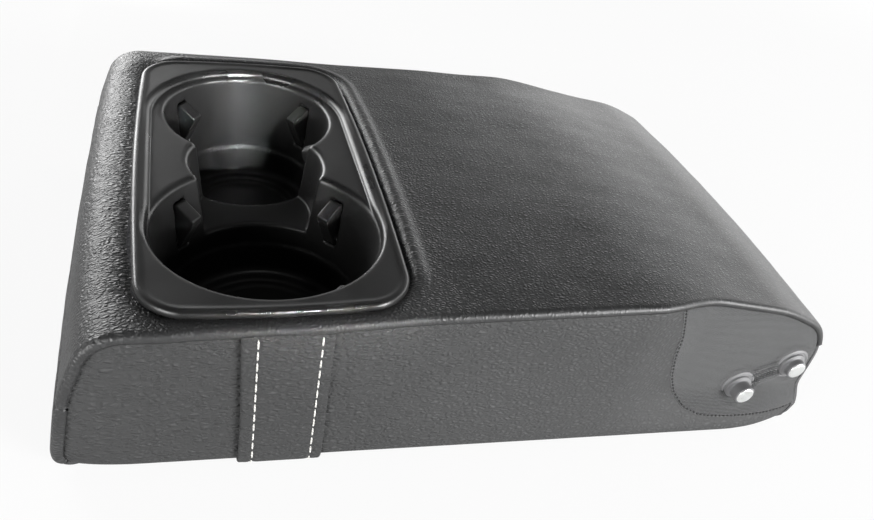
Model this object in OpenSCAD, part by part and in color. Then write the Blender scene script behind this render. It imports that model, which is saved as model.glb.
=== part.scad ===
// Rear seat armrest with two cup holders, a pull strap and side hinge pins.
// Millimetres. The armrest lies on its flat underside, front end towards -X,
// hinge end towards +X, near (strap) side towards -Y, +Z up.

/* [Body] */
// Length along the underside
body_l = 358; // [330:1:400]
// Width of the front half
body_w = 224; // [218:1:240]
// Width between the hinge sides at the rear
rear_w = 206; // [200:1:214]
// Distance from the front end to where the sides start to draw in
waist_x = 238; // [230:1:262]
// Length over which the sides draw in
waist_l = 30; // [20:1:50]
// Height of the top seam over the front end
front_h = 68.5; // [66:0.5:76]
// Height where the top starts to fall away
ridge_h = 85.2; // [84:0.2:92]
// Distance of that ridge from the front end
ridge_x = 249; // [240:1:265]
// Height where the top turns down to the rear edge
brow_h = 76.6; // [74:0.2:78]
// Distance of that brow from the rear end
brow_x = 44; // [40:1:50]
// Height of the top seam over the rear end
rear_h = 64; // [60:0.5:70]
// Forward lean of the front face
front_lean = 8.5; // [0:0.5:14]
// Backward lean of the rear face
rear_lean = 15; // [0:0.5:20]
// Rise of the padded top from its side seams to the middle
crown = 4.6; // [2:0.2:8]
// Bulge of the padded front between its side seams
front_bulge = 5; // [2:0.5:8]

/* [Covers] */
// Thickness of leather or cloth with its backing
cover_t = 2; // [1.5:0.1:3]
// Thickness of the foam on the sides
side_foam_t = 5.5; // [4:0.5:7]
// Thickness of the foam under the carcass
base_foam_t = 5; // [4:0.5:7]
// Height of the seam across the front face
front_seam_h = 38; // [30:1:46]
// Height of the seam across the rear face
rear_seam_h = 56; // [54:1:60]
// Height to which the bottom panel wraps up the sides
wrap_h = 8.2; // [7:0.2:12]
// Distance from the front end to the top of the cloth patch
patch_x = 249; // [244:1:262]

/* [Strap] */
// Width of the pull strap
strap_w = 34; // [28:1:40]
// Thickness of the pull strap
strap_t = 2; // [1.5:0.1:3]

/* [Cup tray] */
// Tilt of the tray and top against the underside
wedge = 4; // [3:0.5:5]
// Distance from the front end to the tray centre
tray_x = 73.4; // [72:0.2:76]
// Height of the tray rim above the underside at its centre
tray_h = 79.9; // [79:0.1:82]
// Width of the rim along the armrest at its middle
rim_w = 107; // [106:0.5:109]
// Length of the rim across the armrest at its middle
rim_l = 206; // [204:0.5:208]
// Place of the rim's middle across the armrest
rim_y = -4.7; // [-5.5:0.1:-4]
// How far the rim's sides bow outwards
rim_bow = 3.2; // [1:0.2:4]
// Corner radius of the rim
rim_r = 17; // [12:1:22]
// Thickness of the moulded tray
tray_t = 2.2; // [1.8:0.1:2.6]
// Depth of the shelf between the cups below the rim
shelf_depth = 3.5; // [3:0.1:5]
// Radius of the recess at the rim
recess_r = 48.8; // [48:0.1:49.6]
// Radius of the recess at the shelf, and of the large cup's mouth
large_r = 46.3; // [45:0.1:47]
// Radius of the small cup's mouth
small_r = 40; // [38:0.1:41]
// Radius of the round passage between the cups
bridge_r = 30; // [26:0.5:31]
// Place of the large cup across the armrest
large_y = -52; // [-53:0.5:-50]
// Place of the small cup across the armrest
small_y = 46; // [44:0.5:48]
// Place of the passage across the armrest
bridge_y = 0.5; // [-2:0.5:3]
// Depth of the cups below the rim
cup_depth = 60.5; // [52:0.5:61]
// Depth of the passage floor below the rim
bridge_depth = 33.5; // [28:0.5:38]
// Depth of the step in the cup walls below the rim
step_depth = 44.5; // [40:0.5:46]
// Draft of the cup walls
draft = 4.6; // [3:0.2:5]

/* [Grip fingers] */
// Width of a grip finger
finger_w = 6.2; // [5:0.1:7]
// Height of a grip finger above its hinge pin
finger_h = 20; // [17:0.5:21]
// How far a finger stands into the cup
finger_reach = 8; // [5:0.5:9]
// Depth of the hinge pins below the rim
finger_pin_depth = 31.5; // [30:0.5:33]
// Diameter of a hinge pin
finger_pin_d = 2.4; // [2:0.1:2.8]

/* [Hinge] */
// Distance of the pivot axis from the rear end
pivot_x = 22.9; // [20:0.1:26]
// Height of the pivot axis
pivot_z = 43.4; // [41:0.1:46]
// Distance of the stop pins from the rear end
stop_x = 49.8; // [47:0.1:54]
// Height of the stop pins
stop_z = 29.5; // [28:0.1:31]
// Diameter of the sleeved pins
sleeve_d = 10.5; // [9:0.1:12]
// Diameter of the steel under the sleeve
pin_d = 8; // [6:0.1:8.4]
// How far a pivot pin stands out of the side
pivot_out = 6.6; // [5:0.1:10]
// How far a stop pin stands out of the side
stop_out = 9.6; // [7:0.1:14]
// Diameter of the domed collars
collar_d = 17; // [14:0.5:19]
// Thickness of the steel side brackets
bracket_t = 4; // [3:0.5:5]
// Diameter of the cross tube
tube_d = 22; // [18:0.5:26]

/* [Carcass] */
// Wall thickness of the moulded carcass
wall = 2.5; // [2:0.1:3]
// Depth of the carcass deck below the rear top seam line
deck_depth = 20; // [16:0.5:24]

/* [Hidden] */
$fn = 48;

leather = [0.22, 0.22, 0.23];
cloth = [0.27, 0.28, 0.29];
foam = [0.85, 0.8, 0.62];
black = [0.1, 0.1, 0.11];
steel = [0.7, 0.71, 0.73];

fit = 0.3;            // gap between loose neighbours
rim_t = 3.4;          // depth of the tray rim's edge
rim_lap = 1.4;          // how far the rim covers the edge of the leather
run = 0.05;           // radial clearance of a running fit
front = -body_l / 2;  // front end of the underside
rear = body_l / 2;    // rear end of the underside
corner_steps = 6;     // straight steps in each rounded corner

// Corner radii of the side outline
foot_r = 10;
nose_r = 16;
ridge_r = 300;
brow_r = 90;
tail_r = 22;
// Rounding of the long bottom edges, kept inside the wrapped panel
edge_r = wrap_h - cover_t - 0.6;
// Corner radii of the plan outline
plan_r = 12;
rear_plan_r = 8;
waist_r = 60;
// How far the side panels reach round onto their neighbours
side_cut = 3;
far_away = 400;

// Thickness of the foam on the front, and on the rear face
front_foam_t = 10;
rear_foam_t = 1;

function unit(v) = v / norm(v);
function left_of(v) = [-v.y, v.x];
function wrap(i, n) = (i + n) % n;

// Corner i of an outline [x, y, radius] moved inwards by d; outlines run anticlockwise
function inset_corner(p, i, d) =
    let (n = len(p),
        a = p[wrap(i - 1, n)], b = p[i], c = p[wrap(i + 1, n)],
        d1 = unit([b.x - a.x, b.y - a.y]), d2 = unit([c.x - b.x, c.y - b.y]),
        n1 = left_of(d1), n2 = left_of(d2),
        m = (n1 + n2) / (1 + n1 * n2),
        turn = d1.x * d2.y - d1.y * d2.x)
    [b.x + d * m.x, b.y + d * m.y, max(0.4, turn > 0 ? b[2] - d : b[2] + d)];

function inset(p, d) = [for (i = [0 : len(p) - 1]) inset_corner(p, i, d)];

// The outline with each corner turned into an arc of its own radius
function rounded(p, steps = corner_steps) = [
    for (i = [0 : len(p) - 1])
        let (n = len(p),
            a = p[wrap(i - 1, n)], b = p[i], c = p[wrap(i + 1, n)],
            d1 = unit([b.x - a.x, b.y - a.y]), d2 = unit([c.x - b.x, c.y - b.y]),
            turn = d1.x * d2.y - d1.y * d2.x,
            side = turn > 0 ? 1 : -1,
            angle = acos(max(-1, min(1, d1 * d2))),
            t = b[2] * tan(angle / 2),
            m = [b.x, b.y] - t * d1 + side * b[2] * left_of(d1),
            from = atan2(-side * left_of(d1).y, -side * left_of(d1).x))
        for (k = [0 : steps])
            m + b[2] * [cos(from + side * angle * k / steps), sin(from + side * angle * k / steps)]];

// Side outline at a top rise, a front bulge and a lift of the underside
function side_outline(rise = 0, bulge = 0, lift = 0) =
    let (lean_f = tan(front_lean), lean_r = tan(rear_lean),
        nose_z = front_h + rise,
        tail_z = rear_h + rise * 0.6)
    [[front + lean_f * lift - bulge * 0.6, lift, foot_r],
     [rear - lean_r * lift, lift, foot_r],
     [rear - lean_r * tail_z, tail_z, tail_r],
     [rear - brow_x, brow_h + rise * 0.9, brow_r],
     [front + ridge_x, ridge_h + rise, ridge_r],
     [front + lean_f * nose_z - bulge, nose_z, nose_r]];

// Plan outline: full width at the front, drawn in at the hinge sides, open at both ends
function waist_outline() =
    let (h = body_w / 2, r = rear_w / 2, w0 = front + waist_x, w1 = w0 + waist_l)
    [[front - far_away, -h, 1], [front + 110, -h, far_away],
     [w0, -h + 1.5, waist_r], [w1, -r, waist_r], [rear + far_away, -r, 1],
     [rear + far_away, r, 1], [w1, r, waist_r], [w0, h - 1.5, waist_r],
     [front + 110, h, far_away], [front - far_away, h, 1]];

// Outline of an end with its two rounded corners, in the plane square to a leaning end face
function end_outline(half, r) =
    let (a = r + 4, b = a + 30, wide = half + 40)
    [[0, -half, r], [a, -half, 1], [b, -wide, 1], [far_away, -wide, 1],
     [far_away, wide, 1], [b, wide, 1], [a, half, 1], [0, half, r]];

// A side outline as a slab, half as wide as given to each side
module slab(outline, half) {
    rotate([90, 0, 0])
        linear_extrude(height = 2 * half, center = true)
            polygon(rounded(outline));
}

// The space between the two sides, moved inwards by d
module waist_space(d) {
    translate([0, 0, -10])
        linear_extrude(height = 140)
            polygon(rounded(inset(waist_outline(), d)));
}

// The space inside the rounded corners of the leaning front and rear faces, moved inwards by d
module end_space(d) {
    intersection() {
        translate([front - front_bulge * 0.6, 0, 0]) rotate([0, front_lean, 0])
            linear_extrude(height = 2 * far_away, center = true)
                polygon(rounded(inset(end_outline(body_w / 2, plan_r), d)));
        translate([rear, 0, 0]) rotate([0, -rear_lean, 0]) rotate(180)
            linear_extrude(height = 2 * far_away, center = true)
                polygon(rounded(inset(end_outline(rear_w / 2, rear_plan_r), d)));
    }
}

// The padded outside, moved inwards by d on every face
module padded(d) {
    h = body_w / 2 - d;
    soft = edge_r * 0.29;
    intersection() {
        hull() {
            slab(inset(side_outline(0, 0, edge_r), d), h);
            slab(inset(side_outline(crown * 0.4, front_bulge * 0.3, soft), d), h - soft);
            slab(inset(side_outline(crown * 0.7, front_bulge * 0.6, 0), d), h - edge_r);
            slab(inset(side_outline(crown, front_bulge, 0), d), h * 0.55);
        }
        waist_space(d);
        end_space(d);
    }
}

// Everything below the top seams
module below_seams() {
    slab(side_outline(0, 0, 0), body_w / 2 + 1);
    block([front - 20, -body_w / 2 - 1, 0], [rear + 20, body_w / 2 + 1, rear_seam_h]);
}

module skin() {
    difference() {
        padded(0);
        padded(cover_t);
    }
}

// A box from one corner to the other
module block(low, high) {
    translate(low) cube(high - low);
}

module tray_frame() {
    translate([front + tray_x, 0, tray_h]) rotate([0, -wedge, 0]) children();
}

// Radii of the bowed sides of the rim
rim_side_r = 1500;
rim_end_r = 420;

// Rim outline of the cup tray, moved inwards by d
function rim_outline(d = 0) =
    let (a = rim_w / 2, c = rim_bow, near = rim_y - rim_l / 2, far = rim_y + rim_l / 2)
    inset([[a - c, near + c, rim_r], [a, rim_y, rim_side_r], [a - c, far - c, rim_r],
        [0, far, rim_end_r], [-a + c, far - c, rim_r], [-a, rim_y, rim_side_r],
        [-a + c, near + c, rim_r], [0, near, rim_end_r]], d);

// The opening in leather and foam under the tray rim, down to depth
module rim_hole(depth) {
    tray_frame() translate([0, 0, -depth])
        linear_extrude(height = depth + 20) polygon(rounded(rim_outline(rim_lap), 4));
}

// The pocket that the rim presses into the leather
module rim_pocket() {
    tray_frame() translate([0, 0, -rim_t])
        linear_extrude(height = rim_t + 20) polygon(rounded(rim_outline(-fit), 4));
}

// Outline of the cloth patch, seen from the near side
patch_front = front + patch_x;
patch_points = rounded([[patch_front + 14, wrap_h + 26, 60], [patch_front + 30, wrap_h - 6, 30],
    [rear + 20, wrap_h - 6, 1], [rear + 20, 120, 1], [patch_front - 6, 120, 1]]);

module patch_region(side) {
    translate([0, side * 80, 0])
        rotate([90, 0, 0]) linear_extrude(height = 110, center = true) polygon(patch_points);
}

// The space of a flat side panel, +1 far or -1 near, outside its neighbours' edges
module side_region(side) {
    difference() {
        intersection() {
            below_seams();
            block([front - 20, side > 0 ? 60 : -140, wrap_h], [rear + 20, side > 0 ? 140 : -60, 120]);
        }
        waist_space(side_cut);
    }
}

tube_at = [rear - 92, 36];
pivot_at = [rear - pivot_x, pivot_z];
stop_at = [rear - stop_x, stop_z];

// A round bar across the armrest on an axis [x, z], from y0 to y1 on one side
module cross_bar(at, r, y0, y1, side) {
    translate([at.x, side * (y0 + y1) / 2, at.y])
        rotate([90, 0, 0]) cylinder(r = r, h = y1 - y0, center = true);
}

module pin_holes(r, side) {
    cross_bar(pivot_at, r, 60, 130, side);
    cross_bar(stop_at, r, 60, 130, side);
}

module cover_side(side) {
    color(leather) difference() {
        intersection() {
            skin();
            side_region(side);
        }
        patch_region(side);
    }
}

module cloth_patch(side) {
    color(cloth) difference() {
        intersection() {
            skin();
            side_region(side);
            patch_region(side);
        }
        pin_holes(sleeve_d / 2 + fit, side);
    }
}

// The skin between two heights over a stretch of the length
module wrap_panel(x0, z0, x1, z1) {
    intersection() {
        skin();
        block([x0, -140, z0], [x1, 140, z1]);
    }
}

wrap_x = front + 60;

module cover_top() {
    color(leather) difference() {
        intersection() {
            skin();
            union() {
                block([front - 20, -140, front_seam_h], [wrap_x, 140, 130]);
                block([wrap_x - 1, -140, rear_seam_h], [rear + 20, 140, 130]);
            }
        }
        side_region(1);
        side_region(-1);
        rim_hole(12);
        rim_pocket();
    }
}

module cover_front_lower() {
    color(leather) intersection() {
        wrap_panel(front - 20, wrap_h, wrap_x, front_seam_h);
        waist_space(side_cut);
    }
}

module cover_bottom() {
    color(leather) wrap_panel(front - 20, -1, rear + 20, wrap_h);
}

module cover_rear() {
    color(cloth) difference() {
        intersection() {
            wrap_panel(wrap_x, wrap_h, rear + 20, rear_seam_h);
            waist_space(side_cut);
        }
        for (side = [-1, 1]) pin_holes(sleeve_d / 2 + fit, side);
    }
}

// The strap lies on the near side, square to the tray, from the top seam to the underside
module pull_strap() {
    y = body_w / 2;
    color(leather) intersection() {
        tray_frame() block([2 - strap_w / 2, -y - strap_t, -90], [2 + strap_w / 2, -y, 20]);
        block([front, -y - strap_t, 0.5], [rear, -y, 140]);
        below_seams();
    }
}

// Depth of the carcass planes below the covers
carcass_side = cover_t + side_foam_t;
carcass_front = cover_t + front_foam_t;
carcass_rear = cover_t + rear_foam_t;
carcass_base = cover_t + base_foam_t;
deck_front = rim_w / 2 + 3;
lip_depth = rim_t + cover_t + 0.4;

// Side outline of the carcass in its own corners: a high front round the tray, a lower deck behind
function tray_point(u, w) =
    [front + tray_x + u * cos(wedge) - w * sin(wedge), tray_h + u * sin(wedge) + w * cos(wedge)];

function carcass_outline(d = 0) =
    let (o = side_outline(),
        low = inset(o, carcass_rear),
        lip_f = tray_point(-rim_w / 2 - 1.5, -lip_depth),
        lip_r = tray_point(deck_front, -lip_depth),
        deck_f = tray_point(deck_front, -deck_depth - 3.5),
        ridge = [front + ridge_x - 30, ridge_h - deck_depth],
        f = front + tan(front_lean) * carcass_base + carcass_front)
    inset([[f, carcass_base, 5], [rear - carcass_rear - 5, carcass_base, 5],
        [low[2].x - 1, rear_h - 11, 6], [ridge.x + 40, ridge.y - 4, 60], [ridge.x, ridge.y, 60],
        [deck_f.x, deck_f.y, 3], [lip_r.x, lip_r.y, 1], [lip_f.x, lip_f.y, 1]], d);

// The carcass as a closed block, moved inwards by d
module carcass_block(d) {
    intersection() {
        slab(carcass_outline(d), body_w / 2);
        waist_space(carcass_side + d);
    }
}

// The foam keeps clear of the carcass by a thin glue line
module carcass_clear() {
    carcass_block(-0.1);
}

module foam_body() {
    difference() {
        padded(cover_t);
        rim_hole(6);
    }
}

module side_foam_region(side) {
    difference() {
        block([front - 20, side > 0 ? 60 : -140, -5], [rear + 20, side > 0 ? 140 : -60, 140]);
        waist_space(carcass_side);
    }
}

module foam_side(side) {
    color(foam) difference() {
        intersection() {
            foam_body();
            side_foam_region(side);
        }
        pin_holes(sleeve_d / 2 + fit, side);
    }
}

foam_front_end = front + 30;
foam_top_start = front + 115;

module foam_front() {
    color(foam) difference() {
        intersection() {
            foam_body();
            waist_space(carcass_side);
            block([front - 20, -140, carcass_base], [foam_front_end, 140, 140]);
        }
        carcass_clear();
    }
}

module foam_bottom() {
    color(foam) intersection() {
        foam_body();
        waist_space(carcass_side);
        block([front - 20, -140, -5], [rear + 20, 140, carcass_base]);
    }
}

module foam_top() {
    color(foam) difference() {
        intersection() {
            foam_body();
            waist_space(carcass_side);
            block([foam_top_start, -140, carcass_base], [rear + 20, 140, 140]);
        }
        carcass_clear();
    }
}

// Screw places of the tray in its own frame
base_opening = 84;    // half width of the opening in the carcass floor
screw_x = 43;
screw_far = [screw_x - 2, small_y + 41];
screw_places = [[-screw_x, -1], [screw_x, -1], [-screw_far.x, screw_far.y], screw_far];
screw_top = 20;       // depth of the screw joint below the rim
screw_r = 1.8;
pillar_r = 4.5;
hub_r = 3.5;
access_r = 3.2;
pillar_cap = 2.5;

module at_screws() {
    for (p = screw_places) tray_frame() translate([p.x, p.y, -screw_top]) children();
}

// The moulded carcass: an open pan round the tray and a ribbed box under the deck
module carcass() {
    inner_side = carcass_side + wall;
    deck_x = tray_point(deck_front, 0).x;
    difference() {
        union() {
            color(black) difference() {
                carcass_block(0);
                carcass_block(wall);
                // open underneath behind the tray
                block([deck_x + 3, -base_opening, 0], [rear - 24, base_opening, carcass_base + wall + 0.5]);
                // open top round the tray
                intersection() {
                    tray_frame() block([-rim_w / 2 - 1.5 + wall, -120, -30], [deck_front - wall, 120, 20]);
                    waist_space(inner_side);
                }
            }
            color(black) intersection() {
                carcass_block(wall / 2);
                union() {
                    block([deck_x - wall, -120, 0], [deck_x, 120, 120]);
                    block([front + 190, -120, 0], [front + 190 + wall, 120, 120]);
                    for (y = [-48, 48]) block([deck_x, y - 1, 0], [rear - 44, y + 1, 120]);
                }
            }
            color(black) intersection() {
                carcass_block(wall / 2);
                at_screws() translate([0, 0, -80]) cylinder(r = pillar_r, h = 80);
            }
        }
        at_screws() translate([0, 0, -90]) cylinder(r = access_r, h = 90 - pillar_cap);
        at_screws() translate([0, 0, -10]) cylinder(r = screw_r + fit, h = 20);
        translate([tube_at.x, 0, tube_at.y]) rotate([90, 0, 0])
            cylinder(r = tube_d / 2 + fit, h = 120, center = true);
        for (side = [-1, 1]) pin_holes(pin_d / 2 + fit, side);
        for (side = [-1, 1], p = bolt_places) cross_bar(p, bolt_r + fit, 60, 130, side);
    }
}

module tray_screws() {
    color(steel) at_screws() {
        translate([0, 0, -pillar_cap]) cylinder(r = screw_r, h = pillar_cap + 9);
        translate([0, 0, -pillar_cap - 2]) cylinder(r = access_r - 0.4, h = 2);
    }
}

// Radius of a cup wall at a depth below the rim
function wall_r(mouth, depth) = mouth - tan(draft) * (depth - shelf_depth);
step_in = 0.8;
foot_fillet = 3.7;

// Half section of a cup cutter, its mouth rounded over with lip radius r
function cup_section(mouth, depth, step, lip, fillet) =
    let (z0 = -shelf_depth,
        below = step > 0 ? [[wall_r(mouth, step), -step], [wall_r(mouth, step) - step_in, -step]] : [],
        shrink = step > 0 ? step_in : 0,
        foot = wall_r(mouth, depth - fillet) - shrink)
    concat([[0, 30], [mouth + lip, 30], [mouth + lip, z0]],
        [for (a = [15 : 15 : 90]) [mouth + lip - lip * sin(a), z0 - lip + lip * cos(a)]],
        below,
        [for (a = [0 : 22.5 : 90])
            [foot - fillet + fillet * cos(a), -depth + fillet - fillet * sin(a)]],
        [[0, -depth]]);

module cup_cutter(y, mouth, depth, step, lip, fillet) {
    translate([0, y, 0]) rotate_extrude($fn = 96)
        polygon(cup_section(mouth, depth, step, lip, fillet));
}

module cup_outside(y, mouth, depth) {
    translate([0, y, -depth - tray_t])
        cylinder(r1 = wall_r(mouth, depth) + tray_t, r2 = mouth + tray_t,
            h = depth + tray_t - shelf_depth, $fn = 96);
}

// Middle of the recess's far round end
recess_y = small_y - 5;

// A long round-ended well, narrower at its floor
module long_well(r_top, r_floor, z_top, z_floor, top_up = 0) {
    for (y = [large_y, recess_y])
        translate([0, y, z_floor]) cylinder(r1 = r_floor, r2 = r_top, h = z_top - z_floor, $fn = 96);
    translate([0, recess_y, 0]) rotate([90, 0, 0]) linear_extrude(height = recess_y - large_y)
        polygon([[-r_floor, z_floor], [r_floor, z_floor], [r_top, z_top], [-r_top, z_top]]);
    if (top_up > 0) {
        for (y = [large_y, recess_y]) translate([0, y, z_top]) cylinder(r = r_top, h = top_up, $fn = 96);
        block([-r_top, large_y, z_top], [r_top, recess_y, z_top + top_up]);
    }
}

lip_small = 2.5;
lip_bridge = 1.5;
finger_back = 1.8;    // hinge pin axis behind the cup wall
house_depth = 15.5;
house_wall = 1.5;
slot_w = finger_w + 0.8;

// Each cup's place, mouth radius and the angles of its fingers
cups = [[large_y, large_r, [41, 139, 225, 315]], [small_y, small_r, [36, 144, 205, 335]]];

// Places a finger's own frame: X outwards from the cup, Z up, origin on its hinge pin
module at_finger(cup, n) {
    tray_frame() translate([0, cups[cup][0], -finger_pin_depth]) rotate([0, 0, cups[cup][2][n]])
        translate([wall_r(cups[cup][1], finger_pin_depth) + finger_back, 0, 0]) children();
}

module each_finger() {
    for (cup = [0, 1], n = [0 : 3]) at_finger(cup, n) children();
}

module finger_house() {
    half = slot_w / 2 + house_wall;
    block([-finger_back, -half, -4], [house_depth - finger_back, half, finger_h + 3.5]);
}

module finger_room() {
    back = house_depth - finger_back - house_wall;
    block([-finger_back - 4, -slot_w / 2, -3], [back, slot_w / 2, finger_h + 1.6]);
}

// The moulded cup tray: rim, sloped recess, shelf, two stepped cups and the passage between them
module cup_tray() {
    color(black) difference() {
        union() {
            tray_frame() {
                translate([0, 0, -rim_t]) linear_extrude(height = rim_t - 1)
                    polygon(rounded(rim_outline(), 4));
                translate([0, 0, -1.2]) linear_extrude(height = 0.8)
                    polygon(rounded(rim_outline(0.5), 4));
                translate([0, 0, -0.5]) linear_extrude(height = 0.5)
                    polygon(rounded(rim_outline(1.4), 4));
                long_well(recess_r + 1.7, large_r + tray_t, -1, -shelf_depth - tray_t);
                cup_outside(large_y, large_r, cup_depth);
                cup_outside(small_y, small_r + 1, cup_depth);
                cup_outside(bridge_y, bridge_r + 1, bridge_depth);
                for (p = screw_places) translate([p.x, p.y, -screw_top])
                    cylinder(r = hub_r, h = screw_top - rim_t + 0.5);
            }
            each_finger() finger_house();
        }
        tray_frame() {
            long_well(recess_r, large_r, -1, -shelf_depth, 10);
            cup_cutter(large_y, large_r, cup_depth, step_depth, 0.01, foot_fillet);
            cup_cutter(small_y, small_r, cup_depth, step_depth, lip_small, foot_fillet);
            cup_cutter(bridge_y, bridge_r, bridge_depth, 0, lip_bridge, 1);
            for (p = screw_places) translate([p.x, p.y, -screw_top - 1])
                cylinder(r = screw_r, h = 12);
        }
        each_finger() {
            finger_room();
            rotate([90, 0, 0]) cylinder(r = finger_pin_d / 2, h = slot_w + 2 * house_wall + 2, center = true);
        }
    }
}

spring_r = 2.4;
spring_w = 2.4;

// One grip finger: a ramped tab hinged at its foot, with a notch for its spring
module grip_finger(cup, n) {
    reach = finger_back + finger_reach;
    color(black) at_finger(cup, n) difference() {
        union() {
            rotate([90, 0, 0]) linear_extrude(height = finger_w, center = true)
                polygon([[-2.4, 0], [-reach + 1, finger_h * 0.62], [-reach, finger_h * 0.72],
                    [-reach + 0.3, finger_h * 0.78], [-finger_back + 0.3, finger_h],
                    [0.6, finger_h - 0.4], [2.2, finger_h * 0.5], [2.2, 0]]);
            rotate([90, 0, 0]) cylinder(r = 2.4, h = finger_w, center = true);
        }
        rotate([90, 0, 0]) cylinder(r = finger_pin_d / 2 + run, h = finger_w + 2, center = true);
        rotate([90, 0, 0]) cylinder(r = spring_r + fit, h = spring_w + 2 * fit, center = true);
        block([-0.6, -spring_w / 2 - fit, -4], [4, spring_w / 2 + fit, finger_h * 0.45]);
    }
}

module finger_pins() {
    color(steel) each_finger()
        rotate([90, 0, 0]) cylinder(r = finger_pin_d / 2, h = slot_w + 2 * house_wall, center = true);
}

// Torsion springs: four turns round the hinge pin and a leg against the back of the housing
module finger_springs() {
    turns = 4;
    wire = spring_w / turns;
    back = house_depth - finger_back - house_wall;
    color(steel) each_finger() {
        rotate([90, 0, 0]) rotate_extrude($fn = 32)
            polygon(concat([[finger_pin_d / 2 + run, -spring_w / 2]],
                [for (k = [0 : turns - 1], s = [0, 1])
                    [spring_r - (s == 0 ? 0.25 : 0), -spring_w / 2 + wire * (k + s / 2)]],
                [[spring_r - 0.25, spring_w / 2], [finger_pin_d / 2 + run, spring_w / 2]]));
        translate([0, 0, -spring_r + 0.35]) rotate([0, 90, 0])
            cylinder(r = 0.35, h = back - 0.05, $fn = 16);
    }
}

bolt_r = 3;
bolt_places = [[rear - 118, 26], [rear - 118, 46], [rear - 72, 44]];
bracket_y = rear_w / 2 - carcass_side - wall - 0.05;
bracket_outline = [[rear - 130, 17, 8], [rear - 14, 17, 8], [rear - 11, 30, 10],
    [rear - 14, pivot_z + 9, 7], [rear - 60, pivot_z + 9, 20], [rear - 130, 54, 8]];

// Pressed steel side bracket with its pins' holes and a lightening slot
module bracket(side) {
    color(steel) difference() {
        intersection() {
            translate([0, side * (bracket_y - bracket_t / 2), 0]) rotate([90, 0, 0])
                linear_extrude(height = bracket_t, center = true) polygon(rounded(bracket_outline));
            slab(carcass_outline(wall + 0.05), body_w / 2);
        }
        pin_holes(pin_d / 2, side);
        for (p = bolt_places) cross_bar(p, bolt_r, 60, 130, side);
    }
}

module bracket_bolts() {
    y_in = bracket_y - bracket_t;
    y_out = rear_w / 2 - carcass_side;
    color(steel) for (side = [-1, 1], p = bolt_places) {
        cross_bar(p, bolt_r, y_in, y_out, side);
        translate([p.x, side * (y_in - 2), p.y]) rotate([90, 0, 0])
            cylinder(r = 5.5, h = 4, center = true, $fn = 6);
    }
}

module cross_tube() {
    half = bracket_y - bracket_t;
    color(steel) translate([tube_at.x, 0, tube_at.y]) rotate([90, 0, 0]) difference() {
        cylinder(r = tube_d / 2, h = 2 * half, center = true);
        cylinder(r = tube_d / 2 - 2, h = 2 * half + 2, center = true);
    }
}

head_t = 1.5;
head_bevel = 0.5;
pin_tail = 6;         // pin length inside its bracket
dome_t = 2.2;

// Steel pin along +Z from its tail, with a bevelled head that holds the sleeve
module pin(out) {
    tail = bracket_y - bracket_t - pin_tail;
    tip = rear_w / 2 + out;
    translate([0, 0, tail]) cylinder(r = pin_d / 2, h = tip - head_t - tail);
    translate([0, 0, tip - head_t]) cylinder(r = sleeve_d / 2, h = head_t - head_bevel);
    translate([0, 0, tip - head_bevel])
        cylinder(r1 = sleeve_d / 2, r2 = sleeve_d / 2 - head_bevel, h = head_bevel);
}

// Black sleeve with a domed collar that closes the hole in the cloth
module sleeve(out) {
    skin_y = rear_w / 2 + 0.05;
    start = bracket_y + wall + 0.1;
    stop = rear_w / 2 + out - head_t - 0.02;
    rotate_extrude() polygon(concat(
        [[pin_d / 2 + run, start], [sleeve_d / 2, start], [sleeve_d / 2, skin_y], [collar_d / 2, skin_y]],
        [for (a = [0 : 22.5 : 90]) [sleeve_d / 2 + 0.4 + (collar_d - sleeve_d - 0.8) / 2 * cos(a),
            skin_y + 0.4 + (dome_t - 0.4) * sin(a)]],
        [[sleeve_d / 2, skin_y + dome_t], [sleeve_d / 2, stop], [pin_d / 2 + run, stop]]));
}

// Turns a part drawn along +Z onto a cross axis of one side
module on_axis(at, side) {
    translate([at.x, 0, at.y]) rotate([side > 0 ? -90 : 90, 0, 0]) children();
}

module pivot_pin(side) {
    color(steel) on_axis(pivot_at, side) pin(pivot_out);
}

module stop_pin(side) {
    color(steel) on_axis(stop_at, side) pin(stop_out);
}

module pivot_sleeve(side) {
    color(black) on_axis(pivot_at, side) sleeve(pivot_out);
}

module stop_sleeve(side) {
    color(black) on_axis(stop_at, side) sleeve(stop_out);
}

cover_top();
cover_front_lower();
cover_side(-1);  // cover_side_near
cover_side(1);  // cover_side_far
cover_bottom();
cover_rear();
cloth_patch(-1);  // cloth_patch_near
cloth_patch(1);  // cloth_patch_far
pull_strap();
foam_top();
foam_front();
foam_side(-1);  // foam_side_near
foam_side(1);  // foam_side_far
foam_bottom();
carcass();
cup_tray();
tray_screws();
finger_pins();
finger_springs();
grip_finger(0, 0);  // grip_finger_1
grip_finger(0, 1);  // grip_finger_2
grip_finger(0, 2);  // grip_finger_3
grip_finger(0, 3);  // grip_finger_4
grip_finger(1, 0);  // grip_finger_5
grip_finger(1, 1);  // grip_finger_6
grip_finger(1, 2);  // grip_finger_7
grip_finger(1, 3);  // grip_finger_8
bracket(-1);  // bracket_near
bracket(1);  // bracket_far
bracket_bolts();
cross_tube();
pivot_pin(-1);  // pivot_pin_near
pivot_pin(1);  // pivot_pin_far
stop_pin(-1);  // stop_pin_near
stop_pin(1);  // stop_pin_far
pivot_sleeve(-1);  // pivot_sleeve_near
pivot_sleeve(1);  // pivot_sleeve_far
stop_sleeve(-1);  // stop_sleeve_near
stop_sleeve(1);  // stop_sleeve_far
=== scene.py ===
"""Rear seat armrest: padded leather body, moulded cup tray with sprung fingers,
stitched pull strap, and cloth patches round the hinge pins.

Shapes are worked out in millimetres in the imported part's frame and go into the
meshes in metres. +X is the hinge end, -Y the near (strap) side, +Z up.
"""
import math

import bpy
import numpy as np
from mathutils import Matrix, Vector


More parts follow.
